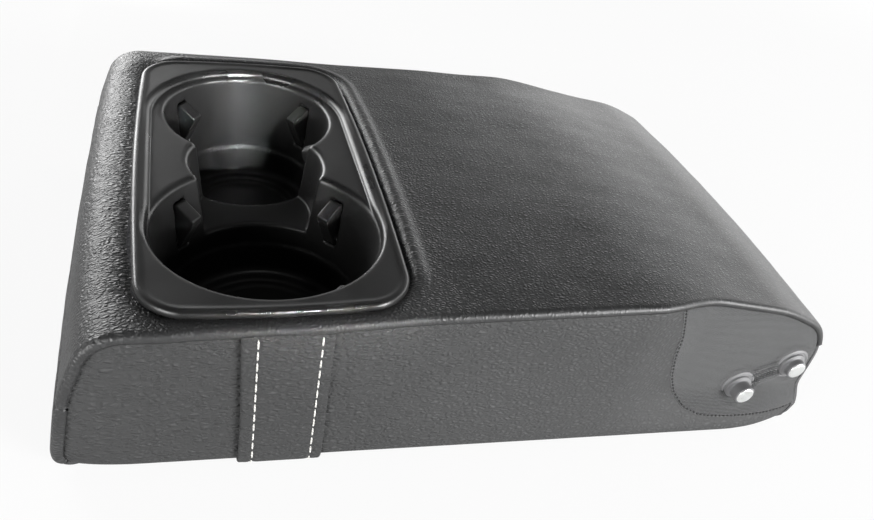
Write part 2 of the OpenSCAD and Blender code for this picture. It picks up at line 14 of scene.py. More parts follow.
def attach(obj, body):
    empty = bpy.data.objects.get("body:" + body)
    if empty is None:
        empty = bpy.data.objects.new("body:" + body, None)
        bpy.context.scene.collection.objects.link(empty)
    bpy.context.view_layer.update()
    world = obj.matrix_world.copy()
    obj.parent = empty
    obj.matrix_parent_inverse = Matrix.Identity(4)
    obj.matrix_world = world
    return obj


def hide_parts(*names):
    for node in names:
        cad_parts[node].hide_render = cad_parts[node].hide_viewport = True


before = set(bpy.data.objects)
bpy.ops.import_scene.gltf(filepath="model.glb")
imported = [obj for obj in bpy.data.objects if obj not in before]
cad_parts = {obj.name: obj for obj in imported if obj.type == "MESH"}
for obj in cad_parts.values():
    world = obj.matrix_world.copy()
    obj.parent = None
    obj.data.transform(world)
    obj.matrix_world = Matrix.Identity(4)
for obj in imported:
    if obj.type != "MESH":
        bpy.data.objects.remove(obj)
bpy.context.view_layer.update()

MM = 0.001
WEDGE = math.radians(4)
SIN, COS = math.sin(WEDGE), math.cos(WEDGE)
TRAY_AT = np.array([-105.6, 0.0, 79.9])


# Camera

HEADING, HEIGHT, TILT = math.radians(-23.31), math.radians(36.45), math.radians(12.94)
CAMERA_AT = (-0.15394, -0.31327, 0.26389)
LENS, SENSOR = 31.72, 36


def place_camera():
    """Camera of the photograph, whose place and angles were measured on the tray, turned with the wedge."""
    level = math.cos(HEIGHT)
    back = np.array([math.sin(HEADING) * level, -math.cos(HEADING) * level, math.sin(HEIGHT)])
    right = np.array([math.cos(HEADING), math.sin(HEADING), 0.0])
    up = np.cross(back, right)
    rows = [math.cos(TILT) * right + math.sin(TILT) * up, -math.sin(TILT) * right + math.cos(TILT) * up, back]
    turned = [Vector((v[0] * COS - v[2] * SIN, v[1], v[0] * SIN + v[2] * COS)) for v in rows]
    data = bpy.data.cameras.new("photo_camera")
    data.lens = LENS
    data.sensor_width = SENSOR
    data.clip_start = 0.01
    camera = bpy.data.objects.new("photo_camera", data)
    bpy.context.scene.collection.objects.link(camera)
    matrix = Matrix(turned).transposed().to_4x4()
    matrix.translation = Vector(CAMERA_AT)
    camera.matrix_world = matrix
    bpy.context.scene.camera = camera


place_camera()


# Mesh tools

def smoothstep(x, a, b):
    """0 below a, 1 above b, and a smooth cubic between."""
    t = np.clip((x - a) / (b - a), 0, 1)
    return t * t * (3 - 2 * t)


def soft_min(a, b, k):
    """Smaller of two distances, blended over k."""
    h = np.clip(0.5 + 0.5 * (b - a) / k, 0, 1)
    return b * (1 - h) + a * h - k * h * (1 - h)


def soft_max(a, b, k):
    """Larger of two distances, blended over k."""
    return -soft_min(-a, -b, k)


def bell(d, reach):
    """1 at 0, falling off as a bell over a reach."""
    return np.exp(-(d / reach) ** 2)


def unit(v):
    """Directions of length 1."""
    return v / np.linalg.norm(v, axis=-1, keepdims=True)


def run_along(p):
    """Distance along a line at each of its points."""
    return np.concatenate([[0], np.cumsum(np.linalg.norm(np.diff(p, axis=0), axis=1))])


def averaged(p, weights):
    """A line of points in a plane, averaged with weights; it loses half their number at both ends."""
    weights = weights / weights.sum()
    return np.stack([np.convolve(p[:, k], weights, "valid") for k in range(2)], -1)


def quads(rows, cols, ring=False, flip=False):
    """Four corners of every cell of a grid of points; a ring joins its last column to its first."""
    i, j = np.meshgrid(np.arange(rows - 1), np.arange(cols if ring else cols - 1), indexing="ij")
    i, j = i.ravel() * cols, j.ravel()
    j2 = (j + 1) % cols
    f = np.stack([i + j, i + j2, i + cols + j2, i + cols + j], -1)
    return f[:, ::-1] if flip else f


def joined(parts):
    """One set of points and faces from several."""
    points, faces, start = [], [], 0
    for p, f in parts:
        points.append(np.asarray(p, float).reshape(-1, 3))
        faces += [face + start for face in f] if isinstance(f, list) else list(np.asarray(f) + start)
        start += len(points[-1])
    return np.concatenate(points), faces


def piece(name, points, faces, material, body="armrest", stands_for=(), skin=None):
    """A mesh object with its place in its mesh, riding on a body; skin holds flat places for its grain."""
    mesh = bpy.data.meshes.new(name)
    metres = (np.asarray(points).reshape(-1, 3) * MM).tolist()
    mesh.from_pydata(metres, [], [list(map(int, f)) for f in faces])
    if skin is not None:
        flat = np.asarray(skin).reshape(-1, 2) * MM
        spots = mesh.attributes.new("skin", "FLOAT_VECTOR", "POINT")
        spots.data.foreach_set("vector", np.pad(flat, ((0, 0), (0, 1))).ravel())
    mesh.materials.append(material)
    mesh.polygons.foreach_set("use_smooth", [True] * len(mesh.polygons))
    made = bpy.data.objects.new(name, mesh)
    bpy.context.scene.collection.objects.link(made)
    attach(made, body)
    if stands_for:
        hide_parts(*stands_for)
    return made


def thicken(made, mm):
    """Gives a sheet its wall on the inner side."""
    wall = made.modifiers.new("wall", "SOLIDIFY")
    wall.thickness = mm * MM
    wall.offset = -1
    return made


# Outlines

def arcs(corners, closed=True, step=0.5):
    """Outline whose corners [x, z, radius] are arcs, with straight runs between, at even steps along it."""
    c = np.array(corners, float)
    n = len(c)
    points = []
    for i in range(n):
        if not closed and i in (0, n - 1):
            points.append(c[i:i + 1, :2])
            continue
        a, b, d = c[i - 1, :2], c[i, :2], c[(i + 1) % n, :2]
        radius = c[i, 2]
        d1, d2 = unit(b - a), unit(d - b)
        side = 1 if d1[0] * d2[1] - d1[1] * d2[0] > 0 else -1
        angle = math.acos(np.clip(d1 @ d2, -1, 1))
        left = np.array([-d1[1], d1[0]])
        mid = b - radius * math.tan(angle / 2) * d1 + side * radius * left
        turn = math.atan2(-side * left[1], -side * left[0]) + side * angle * np.linspace(0, 1, 24)
        points.append(mid + radius * np.stack([np.cos(turn), np.sin(turn)], -1))
    p = np.concatenate(points)
    if closed:
        p = np.concatenate([p, p[:1]])
    return even(p, step)


def even(p, step):
    """The same line with points at even steps along it."""
    run = run_along(p)
    n = max(2, int(round(run[-1] / step)))
    s = np.linspace(0, run[-1], n + 1)
    return np.stack([np.interp(s, run, p[:, k]) for k in range(p.shape[1])], -1)


def soften(p, reach):
    """A closed line averaged over a bell of that reach, in steps."""
    m = 3 * reach
    body = p[:-1]
    weights = bell(np.arange(-m, m + 1), math.sqrt(2) * reach)
    out = averaged(np.concatenate([body[-m:], body, body[:m]]), weights)
    return np.concatenate([out, out[:1]])


# Side view of the body, anticlockwise from the front foot: rear foot, flap, dip, bulge, tail, brow, ridge,
# nose, belly
SIDE = soften(arcs([[-178.6, 0, 10], [180.5, 0, 12], [178.6, 12, 5], [168.7, 29, 12], [168.6, 50, 14],
                    [165, 65.5, 24], [135, 76.6, 90], [70, 85.2, 300], [-167.2, 70.3, 14],
                    [-175.2, 42, 80]]), 3)
SIDE_RUN = run_along(SIDE)
SIDE_WAY = np.gradient(SIDE, axis=0)
SIDE_WAY[0] = SIDE_WAY[-1] = (SIDE_WAY[0] + SIDE_WAY[-1]) / 2
SIDE_WAY = unit(SIDE_WAY)
SIDE_OUT = np.stack([SIDE_WAY[:, 1], -SIDE_WAY[:, 0]], -1)
LENGTH = SIDE_RUN[-1]


def at(s):
    """Point and outward direction of the side outline at a distance along it."""
    s = np.mod(s, LENGTH)
    return [np.interp(s, SIDE_RUN, values) for values in (*SIDE.T, *SIDE_OUT.T)]


def station(x, z):
    """Distance along the side outline to its point nearest to (x, z)."""
    return float(SIDE_RUN[np.argmin(np.hypot(SIDE[:-1, 0] - x, SIDE[:-1, 1] - z))])


ROLL = 8.0
HALF_W, PAST_TRAY, HINGE_IN = 112.3, 2.2, 7.2


def half_width(x, z):
    """Half the width: full at the front and at the foot, a little in past the tray, drawn in at the
    hinge sides above the foot, and rounded off in plan at both ends."""
    w = HALF_W - PAST_TRAY * smoothstep(x, -100, -45) * smoothstep(z, 4, 60)
    w = w - HINGE_IN * smoothstep(x, 50, 92) * smoothstep(z, 2, 30)
    w = w - np.clip(x - 130, 0, None) ** 2 / 250 * (1 - smoothstep(z, 2, 30))
    return w - np.clip(-152 - x, 0, None) ** 2 / 210 * (1 - smoothstep(z, 5, 30))


def pulled(p):
    """The stuffed covers' pull out of the plain outline: hinge end askew and crowned, front bowed
    outwards, far side sagging."""
    x, y, z = p[..., 0], p[..., 1], p[..., 2]
    middle = 1 - np.clip(y / 108, -1, 1) ** 2
    askew = (1.3 + 2.4 * y / 103) * smoothstep(x, 100, 165) * smoothstep(z, 40, 66)
    bow = (1.7 - 0.9 * y / 112 + 1.3 * middle) * smoothstep(-x, 150, 174)
    crown = 2.0 * middle * smoothstep(x, 80, 160) * smoothstep(z, 45, 68)
    sag = 1.1 * smoothstep(x, -5, 35) * smoothstep(-x, -135, -100) * smoothstep(y, 50, 100)
    return np.stack([x + askew - bow, y, z + crown - sag * smoothstep(z, 50, 68)], -1)


def roll_in(z):
    """How far the sides' rounding draws in below 8 mm."""
    d = np.clip(ROLL - z, 0, ROLL)
    return ROLL - np.sqrt(ROLL ** 2 - d ** 2)


def up_side(z):
    """Distance up a side, round its lower roll, to height z."""
    low = ROLL * np.arccos(np.clip(1 - z / ROLL, -1, 1))
    return np.where(z < ROLL, low, z - ROLL + ROLL * math.pi / 2)


def ripple(x, y, size, seed=0.0):
    """Slow uneven swell, -1 to 1, of a size in mm: four crossing waves."""
    k = 2 * math.pi / size
    waves = ((0.93, 0.37, seed), (-0.42, 1.13, 1.7 + 2 * seed),
             (1.31, -0.71, 3.1 - seed), (0.323, 1.411, 0.6 + seed))
    return sum(np.sin(k * (a * x + b * y) + shift) for a, b, shift in waves) / 4


EDGE = np.array([0, 0.25, 0.6, 1, 1.5, 2.1, 2.9, 4, 5.4, 7])
TURNED_IN = 0.5
LIP = 1.5


def rows_over(length, step):
    """Distances over a panel whose rows are close by both seams, with one row turned in behind each."""
    n = max(2, int(round((length - 2 * EDGE[-1]) / step)))
    middle = np.linspace(EDGE[-1], length - EDGE[-1], n + 1)[1:-1]
    return np.concatenate([[TURNED_IN], EDGE, middle, length - EDGE[::-1], [length - TURNED_IN]])


def tucked(rows, cols):
    """Marks a panel's outermost rows, which are turned in behind the seams."""
    m = np.ones((rows, cols))
    m[1:-1, 1:-1] = 0
    return m


def round_over(d, reach):
    """0 at an edge, rising round a quarter circle to 1 at the reach."""
    return np.sqrt(1 - (1 - np.clip(d / reach, 0, 1)) ** 2)


def cover_panel(s0, s1, lift, sink, crown, overhang=0.0, step=1.8, shape=None):
    """Panel over the side outline from s0 to s1 and across from side to side.

    Its height over the outline is -sink at the seams, plus lift round a quarter
    ellipse, plus a parabolic crown across, plus what shape() adds."""
    s = rows_over(s1 - s0, step)
    x, z, ox, oz = at(s0 + s)
    half = half_width(x, z) - roll_in(z)
    n = int(round((2 * half.max() - 2 * EDGE[-1]) / step))
    f = np.linspace(0, 1, n + 1)[1:-1]
    w = 2 * half[:, None]
    near, middle, far = EDGE + 0 * w, EDGE[-1] + f * (w - 2 * EDGE[-1]), w - EDGE[::-1]
    c = np.concatenate([TURNED_IN + 0 * w, near, middle, far, w - TURNED_IN], 1)
    y = c - half[:, None]
    d_side = np.minimum(c, w - c)
    d_end = np.broadcast_to(np.minimum(s, s1 - s0 - s)[:, None], c.shape)
    x, z, ox, oz = (np.broadcast_to(a[:, None], c.shape) for a in (x, z, ox, oz))
    h = -sink + lift * round_over(d_side, LIP) * round_over(d_end, 2.0)
    h = h + crown * (1 - (1 - d_side / (w / 2)) ** 2) * smoothstep(d_end, 0, 26)
    if shape is not None:
        h = h + shape(x, y, z, d_side)
    h = h - 1.5 * tucked(*c.shape)
    fallen = lift * (1 - round_over(d_side, LIP))
    skin = np.stack([np.broadcast_to((s0 + s)[:, None], c.shape), y + np.sign(y) * fallen], -1)
    y = y + np.sign(y) * overhang * np.sin(math.pi * np.clip(d_side / 4.0, 0, 1))
    points = pulled(np.stack([x + ox * h, y, z + oz * h], -1))
    return points, quads(*c.shape, flip=True), skin


# Tray frame

def from_tray(p):
    """Tray points to the armrest's frame: tilted by the wedge and set at the tray's centre."""
    p = np.asarray(p, float)
    x, y, z = p[..., 0], p[..., 1], p[..., 2]
    return np.stack([TRAY_AT[0] + x * COS - z * SIN, y, TRAY_AT[2] + x * SIN + z * COS], -1)


def to_tray(x, y, z):
    """Points of the armrest's frame in the tray's own."""
    dx, dz = x - TRAY_AT[0], z - TRAY_AT[2]
    return dx * COS + dz * SIN, y, -dx * SIN + dz * COS


RIM_W, RIM_L, RIM_Y, RIM_R, RIM_BOW = 107.0, 206.0, -4.7, 17.0, 3.2
RIM_T, RIM_ROUND, RIM_DROP, SHELF = 3.4, 2.3, 0.55, 3.5
RECESS_R, RECESS_Y = 48.8, 41.0
LARGE_R, SMALL_R, BRIDGE_R = 46.3, 40.0, 30.0
LARGE_Y, SMALL_Y, BRIDGE_Y = -52.0, 46.0, 0.5
CUP_D, BRIDGE_D, STEP_D = 60.5, 33.5, 44.5
TRAY_T = 2.2
TAN_DRAFT = math.tan(math.radians(4.6))
FINGER_W, FINGER_H, FINGER_REACH, FINGER_DEPTH, FINGER_BACK = 6.2, 20.0, 8.0, 31.5, 1.8
HOUSE = 15.5
SLOT = FINGER_W + 0.8
CUPS = [(LARGE_Y, LARGE_R, (41, 139, 225, 315)), (SMALL_Y, SMALL_R, (36, 144, 205, 335))]


def corner(a, b):
    """Distance outside a corner of two distances; negative inside."""
    return np.hypot(np.maximum(a, 0), np.maximum(b, 0)) + np.minimum(np.maximum(a, b), 0)


def rim_distance(x, y):
    """Distance outside the rim's outline, a rounded rectangle whose sides bow outwards; negative inside."""
    a, b = RIM_W / 2, RIM_L / 2
    y = y - RIM_Y
    px = np.abs(x) + RIM_BOW * np.clip(y / b, -1.2, 1.2) ** 2
    py = np.abs(y) + RIM_BOW * np.clip(x / a, -1.2, 1.2) ** 2
    return corner(px - a + RIM_R, py - b + RIM_R) - RIM_R


# Materials

def feed(tree, socket, value):
    """Sets an input to a constant, or links an output to it."""
    if isinstance(value, (int, float, tuple)):
        socket.default_value = value
    else:
        tree.links.new(value, socket)


def math_node(tree, operation, *values, clamp=False):
    """A Math node fed by outputs or numbers."""
    node = tree.nodes.new("ShaderNodeMath")
    node.operation = operation
    node.use_clamp = clamp
    for socket, value in zip(node.inputs, values):
        feed(tree, socket, value)
    return node.outputs[0]


def times(tree, a, b):
    """Product of two values."""
    return math_node(tree, "MULTIPLY", a, b)


def plus(tree, a, b, clamp=False):
    """Sum of two values."""
    return math_node(tree, "ADD", a, b, clamp=clamp)


def map_range(tree, value, a, b, c, d, smooth=True):
    """A Map Range node from a..b to c..d."""
    node = tree.nodes.new("ShaderNodeMapRange")
    node.interpolation_type = "SMOOTHSTEP" if smooth else "LINEAR"
    labels = ("Value", "From Min", "From Max", "To Min", "To Max")
    for label, number in zip(labels, (value, a, b, c, d)):
        feed(tree, node.inputs[label], number)
    return node.outputs["Result"]


def noise(tree, vector, scale, detail, output="Fac"):
    """A Noise Texture's output."""
    node = tree.nodes.new("ShaderNodeTexNoise")
    for label, value in (("Vector", vector), ("Scale", scale), ("Detail", detail)):
        feed(tree, node.inputs[label], value)
    return node.outputs[output]


def voronoi(tree, vector, scale, feature="F1"):
    """A Voronoi Texture's distance."""
    node = tree.nodes.new("ShaderNodeTexVoronoi")
    node.feature = feature
    feed(tree, node.inputs["Vector"], vector)
    feed(tree, node.inputs["Scale"], scale)
    return node.outputs["Distance"]


def vector_math(tree, operation, *values):
    """A Vector Math node fed by outputs or constants."""
    node = tree.nodes.new("ShaderNodeVectorMath")
    node.operation = operation
    for socket, value in zip(node.inputs, values):
        feed(tree, socket, value)
    return node.outputs[0]


def axes_of(tree, vector):
    """A vector's X, Y and Z."""
    node = tree.nodes.new("ShaderNodeSeparateXYZ")
    tree.links.new(vector, node.inputs[0])
    return node.outputs


def looks_along(tree, axis):
    """How squarely a face looks along an axis, either way."""
    normal = tree.nodes.new("ShaderNodeNewGeometry").outputs["Normal"]
    return math_node(tree, "ABSOLUTE", axes_of(tree, normal)[axis])


def mix_colour(tree, factor, a, b):
    """Colour between a and b."""
    node = tree.nodes.new("ShaderNodeMix")
    node.data_type = "RGBA"
    feed(tree, node.inputs["Factor"], factor)
    node.inputs[6].default_value = a + (1,)
    node.inputs[7].default_value = b + (1,)
    return node.outputs[2]


def grain_group(name, outputs, **numbers):
    """A shader node group from a Vector and named numbers to named values."""
    group = bpy.data.node_groups.new(name, "ShaderNodeTree")
    group.interface.new_socket("Vector", in_out="INPUT", socket_type="NodeSocketVector")
    for label, value in numbers.items():
        socket = group.interface.new_socket(label, in_out="INPUT", socket_type="NodeSocketFloat")
        socket.default_value = value
    for label in outputs:
        group.interface.new_socket(label, in_out="OUTPUT", socket_type="NodeSocketFloat")
    return group, group.nodes.new("NodeGroupInput").outputs, group.nodes.new("NodeGroupOutput").inputs


def make_leather_group():
    """Leather grain on a vector counted in cells: long pebbles between creases, uneven, with pores.

    Height is the rise of each pebble from its creases; Crease is 1 in a crease; Patch drifts slowly."""
    group, inputs, outputs = grain_group("leather_grain", ("Height", "Crease", "Patch"))
    vector = inputs["Vector"]
    drift = noise(group, vector, 0.4, 1, "Color")
    pushed = vector_math(group, "MULTIPLY_ADD", drift, (0.4, 0.5, 0), vector)
    small, big = (map_range(group, voronoi(group, pushed, scale, "DISTANCE_TO_EDGE"), 0.0, reach, 0.0, 1.0)
                  for scale, reach in ((1.0, 0.52), (0.37, 0.12)))
    deep = map_range(group, noise(group, vector, 0.13, 3), 0.35, 0.68, 0.05, 0.3)
    shallow = map_range(group, deep, 0.05, 0.3, 1.0, 0.85)
    pores = times(group, noise(group, vector, 2.6, 2), 0.08)
    pebbles = plus(group, times(group, small, shallow), times(group, big, deep))
    feed(group, outputs["Height"], plus(group, pebbles, pores))
    feed(group, outputs["Crease"], math_node(group, "SUBTRACT", 1.0, times(group, small, big)))
    feed(group, outputs["Patch"], noise(group, vector, 0.02, 3))
    return group


def make_weave_group():
    """Plain weave on a vector counted in threads that cross over and under, with uneven yarn."""
    group, inputs, outputs = grain_group("cloth_weave", ("Height", "Gap", "Yarn"))
    vector = inputs["Vector"]
    place = axes_of(group, vector)
    wander = noise(group, vector, 0.12, 2)
    waves = []
    for axis, share in (("X", 0.9), ("Y", -0.7)):
        way = math_node(group, "MULTIPLY_ADD", wander, share, place[axis])
        waves.append(math_node(group, "ABSOLUTE", math_node(group, "SINE", times(group, way, math.pi))))
    height = times(group, *waves)
    feed(group, outputs["Height"], height)
    feed(group, outputs["Gap"], math_node(group, "SUBTRACT", 1.0, height, clamp=True))
    feed(group, outputs["Yarn"], noise(group, vector, 0.75, 3))
    return group


def make_moulded_group():
    """Fine moulded texture: small even bumps, with slow uneven polish and a little dust."""
    group, inputs, outputs = grain_group("moulded_texture", ("Height", "Polish", "Dust"), Fine=2200.0)
    vector = inputs["Vector"]
    near = map_range(group, voronoi(group, vector, 160), 0.02, 0.06, 1.0, 0.0)
    chance = map_range(group, noise(group, vector, 34, 1), 0.60, 0.72, 0.0, 1.0)
    feed(group, outputs["Height"], noise(group, vector, inputs["Fine"], 2))
    feed(group, outputs["Polish"], noise(group, vector, 45, 3))
    feed(group, outputs["Dust"], times(group, near, chance))
    return group


LEATHER_GRAIN = make_leather_group()
CLOTH_WEAVE = make_weave_group()
MOULDED = make_moulded_group()


def new_material(name):
    """A material, its node tree, its shader's inputs, and Object coordinates."""
    material = bpy.data.materials.new(name)
    material.use_nodes = True
    tree = material.node_tree
    coords = tree.nodes.new("ShaderNodeTexCoord").outputs["Object"]
    return material, tree, tree.nodes["Principled BSDF"].inputs, coords


def skin_places(tree, coords, own, per_metre):
    """Flat places for a grain, counted in its cells or threads: a panel's own, or the object's folded
    so that every face has two that change."""
    if own:
        node = tree.nodes.new("ShaderNodeAttribute")
        node.attribute_name = "skin"
        flat = node.outputs["Vector"]
    else:
        place = axes_of(tree, coords)
        both = tree.nodes.new("ShaderNodeCombineXYZ")
        feed(tree, both.inputs["X"], math_node(tree, "MULTIPLY_ADD", place["Y"], 0.8, place["X"]))
        feed(tree, both.inputs["Y"], math_node(tree, "MULTIPLY_ADD", place["Y"], 0.6, place["Z"]))
        flat = both.outputs[0]
    return vector_math(tree, "MULTIPLY", flat, per_metre)


def use_group(tree, group, vector, **values):
    """Places a group on a vector, sets its named inputs, and gives its outputs."""
    node = tree.nodes.new("ShaderNodeGroup")
    node.node_tree = group
    feed(tree, node.inputs["Vector"], vector)
    for label, value in values.items():
        node.inputs[label].default_value = value
    return node.outputs


def bump(tree, shader, height, distance, strength=1.0):
    """Bump from a height into the shader's normal."""
    node = tree.nodes.new("ShaderNodeBump")
    for label, value in (("Height", height), ("Distance", distance), ("Strength", strength)):
        feed(tree, node.inputs[label], value)
    tree.links.new(node.outputs["Normal"], shader["Normal"])


def leather(name, light, dark, rough, depth, cells=(570, 710, 0), own=True,
            fades=((0.0, 0.14, 0.6),), seams=False, level=0.5):
    """Grained leather: creases darkened in colour as painted shade, patchy tone and gloss, and the grain as
    bump.

    Each fade lowers the bump between two places along X; seams softens it on sideways faces."""
    material, tree, shader, coords = new_material(name)
    skin = use_group(tree, LEATHER_GRAIN, skin_places(tree, coords, own, cells))
    patches = map_range(tree, skin["Patch"], 0.35, 0.65, 0.0, 0.25)
    # Creases are darkened in colour as painted shade; the slow patches are the leather's own uneven tone.
    painted_shade_and_tone = plus(tree, times(tree, skin["Crease"], 0.7), patches, clamp=True)
    feed(tree, shader["Base Color"], mix_colour(tree, painted_shade_and_tone, light, dark))
    feed(tree, shader["Roughness"], math_node(tree, "MULTIPLY_ADD", skin["Crease"], 0.12, rough))
    feed(tree, shader["Specular IOR Level"], level)
    along = axes_of(tree, coords)["X"]
    strength = 1.0
    for start, end, share in fades:
        strength = times(tree, map_range(tree, along, start, end, 1.0, share), strength)
    if seams:
        strength = times(tree, map_range(tree, looks_along(tree, "Y"), 0.5, 0.85, 1.0, 0.7), strength)
    bump(tree, shader, skin["Height"], depth, strength)
    return material


def cloth(name, light, dark, own=True):
    """Woven cloth: threads over gaps darkened in colour as painted shade, soft sheen at its edges."""
    material, tree, shader, coords = new_material(name)
    weave = use_group(tree, CLOTH_WEAVE, skin_places(tree, coords, own, (1350, 1350, 0)))
    yarn = map_range(tree, weave["Yarn"], 0.3, 0.7, 0.0, 0.5)
    # The gaps between threads are darkened as painted shade; the yarn's unevenness is its own tone.
    painted_shade_and_tone = plus(tree, times(tree, weave["Gap"], 0.7), yarn, clamp=True)
    feed(tree, shader["Base Color"], mix_colour(tree, painted_shade_and_tone, light, dark))
    for label, value in (("Roughness", 0.8), ("Sheen Weight", 0.25), ("Sheen Roughness", 0.4)):
        shader[label].default_value = value
    bump(tree, shader, weave["Height"], 0.00034)
    return material


def moulded(name, colour, rough, fine=2200.0, depth=0.00004, dust=0.0, level=0.5, edge=None):
    """Moulded plastic: fine texture, uneven polish, a little dust; edge is the roughness of rubbed edges."""
    material, tree, shader, coords = new_material(name)
    grain = use_group(tree, MOULDED, coords, Fine=fine)
    pale = tuple(min(1, c + 0.12) for c in colour)
    feed(tree, shader["Base Color"], mix_colour(tree, times(tree, grain["Dust"], dust), colour, pale))
    gloss = map_range(tree, grain["Polish"], 0.3, 0.7, rough - 0.05, rough + 0.06)
    if edge is not None:
        up = looks_along(tree, "Z")
        high = map_range(tree, axes_of(tree, coords)["Z"], 0.046, 0.054, 0.0, 1.0)
        rubbed = times(tree, map_range(tree, up, 0.1, 0.4, 0.0, 1.0), high)
        rubbed = times(tree, rubbed, map_range(tree, up, 0.93, 0.985, 1.0, 0.0))
        gloss = math_node(tree, "MULTIPLY_ADD", rubbed, edge - rough, gloss)
    feed(tree, shader["Roughness"], gloss)
    feed(tree, shader["Specular IOR Level"], level)
    bump(tree, shader, grain["Height"], depth)
    return material


def turned_steel(name, colour, rough):
    """Bright turned steel: fine tool marks and slight stains."""
    material, tree, shader, coords = new_material(name)
    grain = use_group(tree, MOULDED, coords, Fine=1500.0)
    stain = tuple(c * 0.72 for c in colour)
    stained = map_range(tree, grain["Polish"], 0.45, 0.75, 0.0, 1.0)
    feed(tree, shader["Base Color"], mix_colour(tree, stained, colour, stain))
    feed(tree, shader["Metallic"], 1.0)
    feed(tree, shader["Roughness"], map_range(tree, grain["Polish"], 0.3, 0.7, rough, rough + 0.12))
    bump(tree, shader, grain["Height"], 0.00003)
    return material


def twisted_thread(name, light, dark):
    """Sewing thread: twisted plies as fine slanting ridges, the grooves between them darkened in colour as
    painted shade.
    """
    material, tree, shader, coords = new_material(name)
    ply = tree.nodes.new("ShaderNodeTexWave")
    ply.wave_type = "BANDS"
    ply.bands_direction = "DIAGONAL"
    ply.inputs["Scale"].default_value = 420
    tree.links.new(coords, ply.inputs["Vector"])
    # The grooves between plies take the dark colour: painted shade.
    feed(tree, shader["Base Color"], mix_colour(tree, ply.outputs["Fac"], dark, light))
    feed(tree, shader["Roughness"], 0.7)
    bump(tree, shader, ply.outputs["Fac"], 0.0001, 0.6)
    return material


def porous_foam(name, colour):
    """Cut foam: open pores."""
    material, tree, shader, coords = new_material(name)
    pores = voronoi(tree, coords, 900)
    feed(tree, shader["Base Color"], mix_colour(tree, pores, colour, tuple(c * 0.6 for c in colour)))
    feed(tree, shader["Roughness"], 0.95)
    bump(tree, shader, pores, 0.0004, 0.7)
    return material


# The dark leather colour fills the creases as painted shade and the darker patches as the leather's own tone.
LEATHER_LIGHT, LEATHER_DARK = (0.034, 0.0345, 0.035), (0.016, 0.0162, 0.0165)
LEATHER = leather("armrest_leather", LEATHER_LIGHT, LEATHER_DARK, 0.33, 0.00034, seams=True,
                  fades=((-0.165, -0.14, 0.7), (-0.045, -0.02, 0.65), (0.0, 0.14, 0.6)))
FLAT_CELLS = (330, 580, 0)
SIDE_LEATHER = leather("side_leather", (0.056, 0.0565, 0.057), (0.032, 0.0323, 0.0326), 0.58, 0.0008,
                       FLAT_CELLS, fades=((-0.08, 0.10, 0.3),), level=0.3)
STRAP_LEATHER = leather("strap_leather", (0.055, 0.0555, 0.056), (0.030, 0.0303, 0.0306), 0.57, 0.0007,
                        FLAT_CELLS, level=0.3)
PLAIN_LEATHER = leather("solid_leather", LEATHER_LIGHT, LEATHER_DARK, 0.45, 0.0004, own=False)
CLOTH = cloth("patch_cloth", (0.061, 0.062, 0.064), (0.018, 0.0185, 0.019))
PLAIN_CLOTH = cloth("solid_cloth", (0.066, 0.067, 0.069), (0.018, 0.0185, 0.019), own=False)
TRAY_PLASTIC = moulded("tray_plastic", (0.0095, 0.0095, 0.0095), 0.41,
                       depth=0.000028, dust=0.5, level=0.42, edge=0.29)
FINGER_PLASTIC = moulded("finger_plastic", (0.011, 0.011, 0.011), 0.42, fine=2600.0)
SLEEVE_PLASTIC = moulded("sleeve_plastic", (0.13, 0.13, 0.133), 0.5, fine=1400.0, depth=0.00003)
CARCASS_PLASTIC = moulded("carcass_plastic", (0.02, 0.02, 0.021), 0.55, fine=1200.0)
STEEL = turned_steel("bright_steel", (0.78, 0.79, 0.78), 0.24)
FRAME_STEEL = turned_steel("frame_steel", (0.42, 0.42, 0.43), 0.38)
PALE_THREAD = twisted_thread("pale_thread", (0.72, 0.71, 0.68), (0.42, 0.41, 0.39))
DARK_THREAD = twisted_thread("dark_thread", (0.008, 0.008, 0.009), (0.003, 0.003, 0.003))
# Foam coloured dark grey: partly its own colour, partly painted shade, so that where it shows through the gap
# by the tray's rim it passes for shade.
FOAM = porous_foam("cut_foam", (0.07, 0.07, 0.075))


# Panels over the outline

S_REAR_SEAM = station(168, 56)
S_FRONT_SEAM = station(-175, 38)
S_FRONT_FOOT = station(-177.6, 4)
S_REAR_FOOT = station(177, 3)
TRAY_TOP = 60


def top_shape(x, y, z, d_side):
    """Turns down into a narrow gap along the tray's rim, lies low in front of it, and swells behind it,
    with slow unevenness elsewhere."""
    tx, ty, _ = to_tray(x, y, z)
    out = np.clip(rim_distance(tx, ty), 0, None)
    front, near = smoothstep(-tx, 30, 50), smoothstep(-ty, 80, 100)
    gap = (3.0 - 2.1 * front - 2.3 * near * (1 - front)) * bell(out, 2.9 - 1.6 * np.maximum(front, near))
    low = 2.1 * front * bell(out, 7.5)
    swell = 1.7 * (1 - front) * (1 - near) * bell(out - 5.2, 3.0)
    slow = 0.16 * ripple(x, y, 61) + 0.09 * ripple(x, y, 27, 2.0)
    flush = (0.2 + 0.8 * smoothstep(x, 10, 90)) * (1 - round_over(d_side, LIP))
    return np.where(z > TRAY_TOP, swell - gap - low, 0) + slow * smoothstep(d_side, 2, 12) + flush


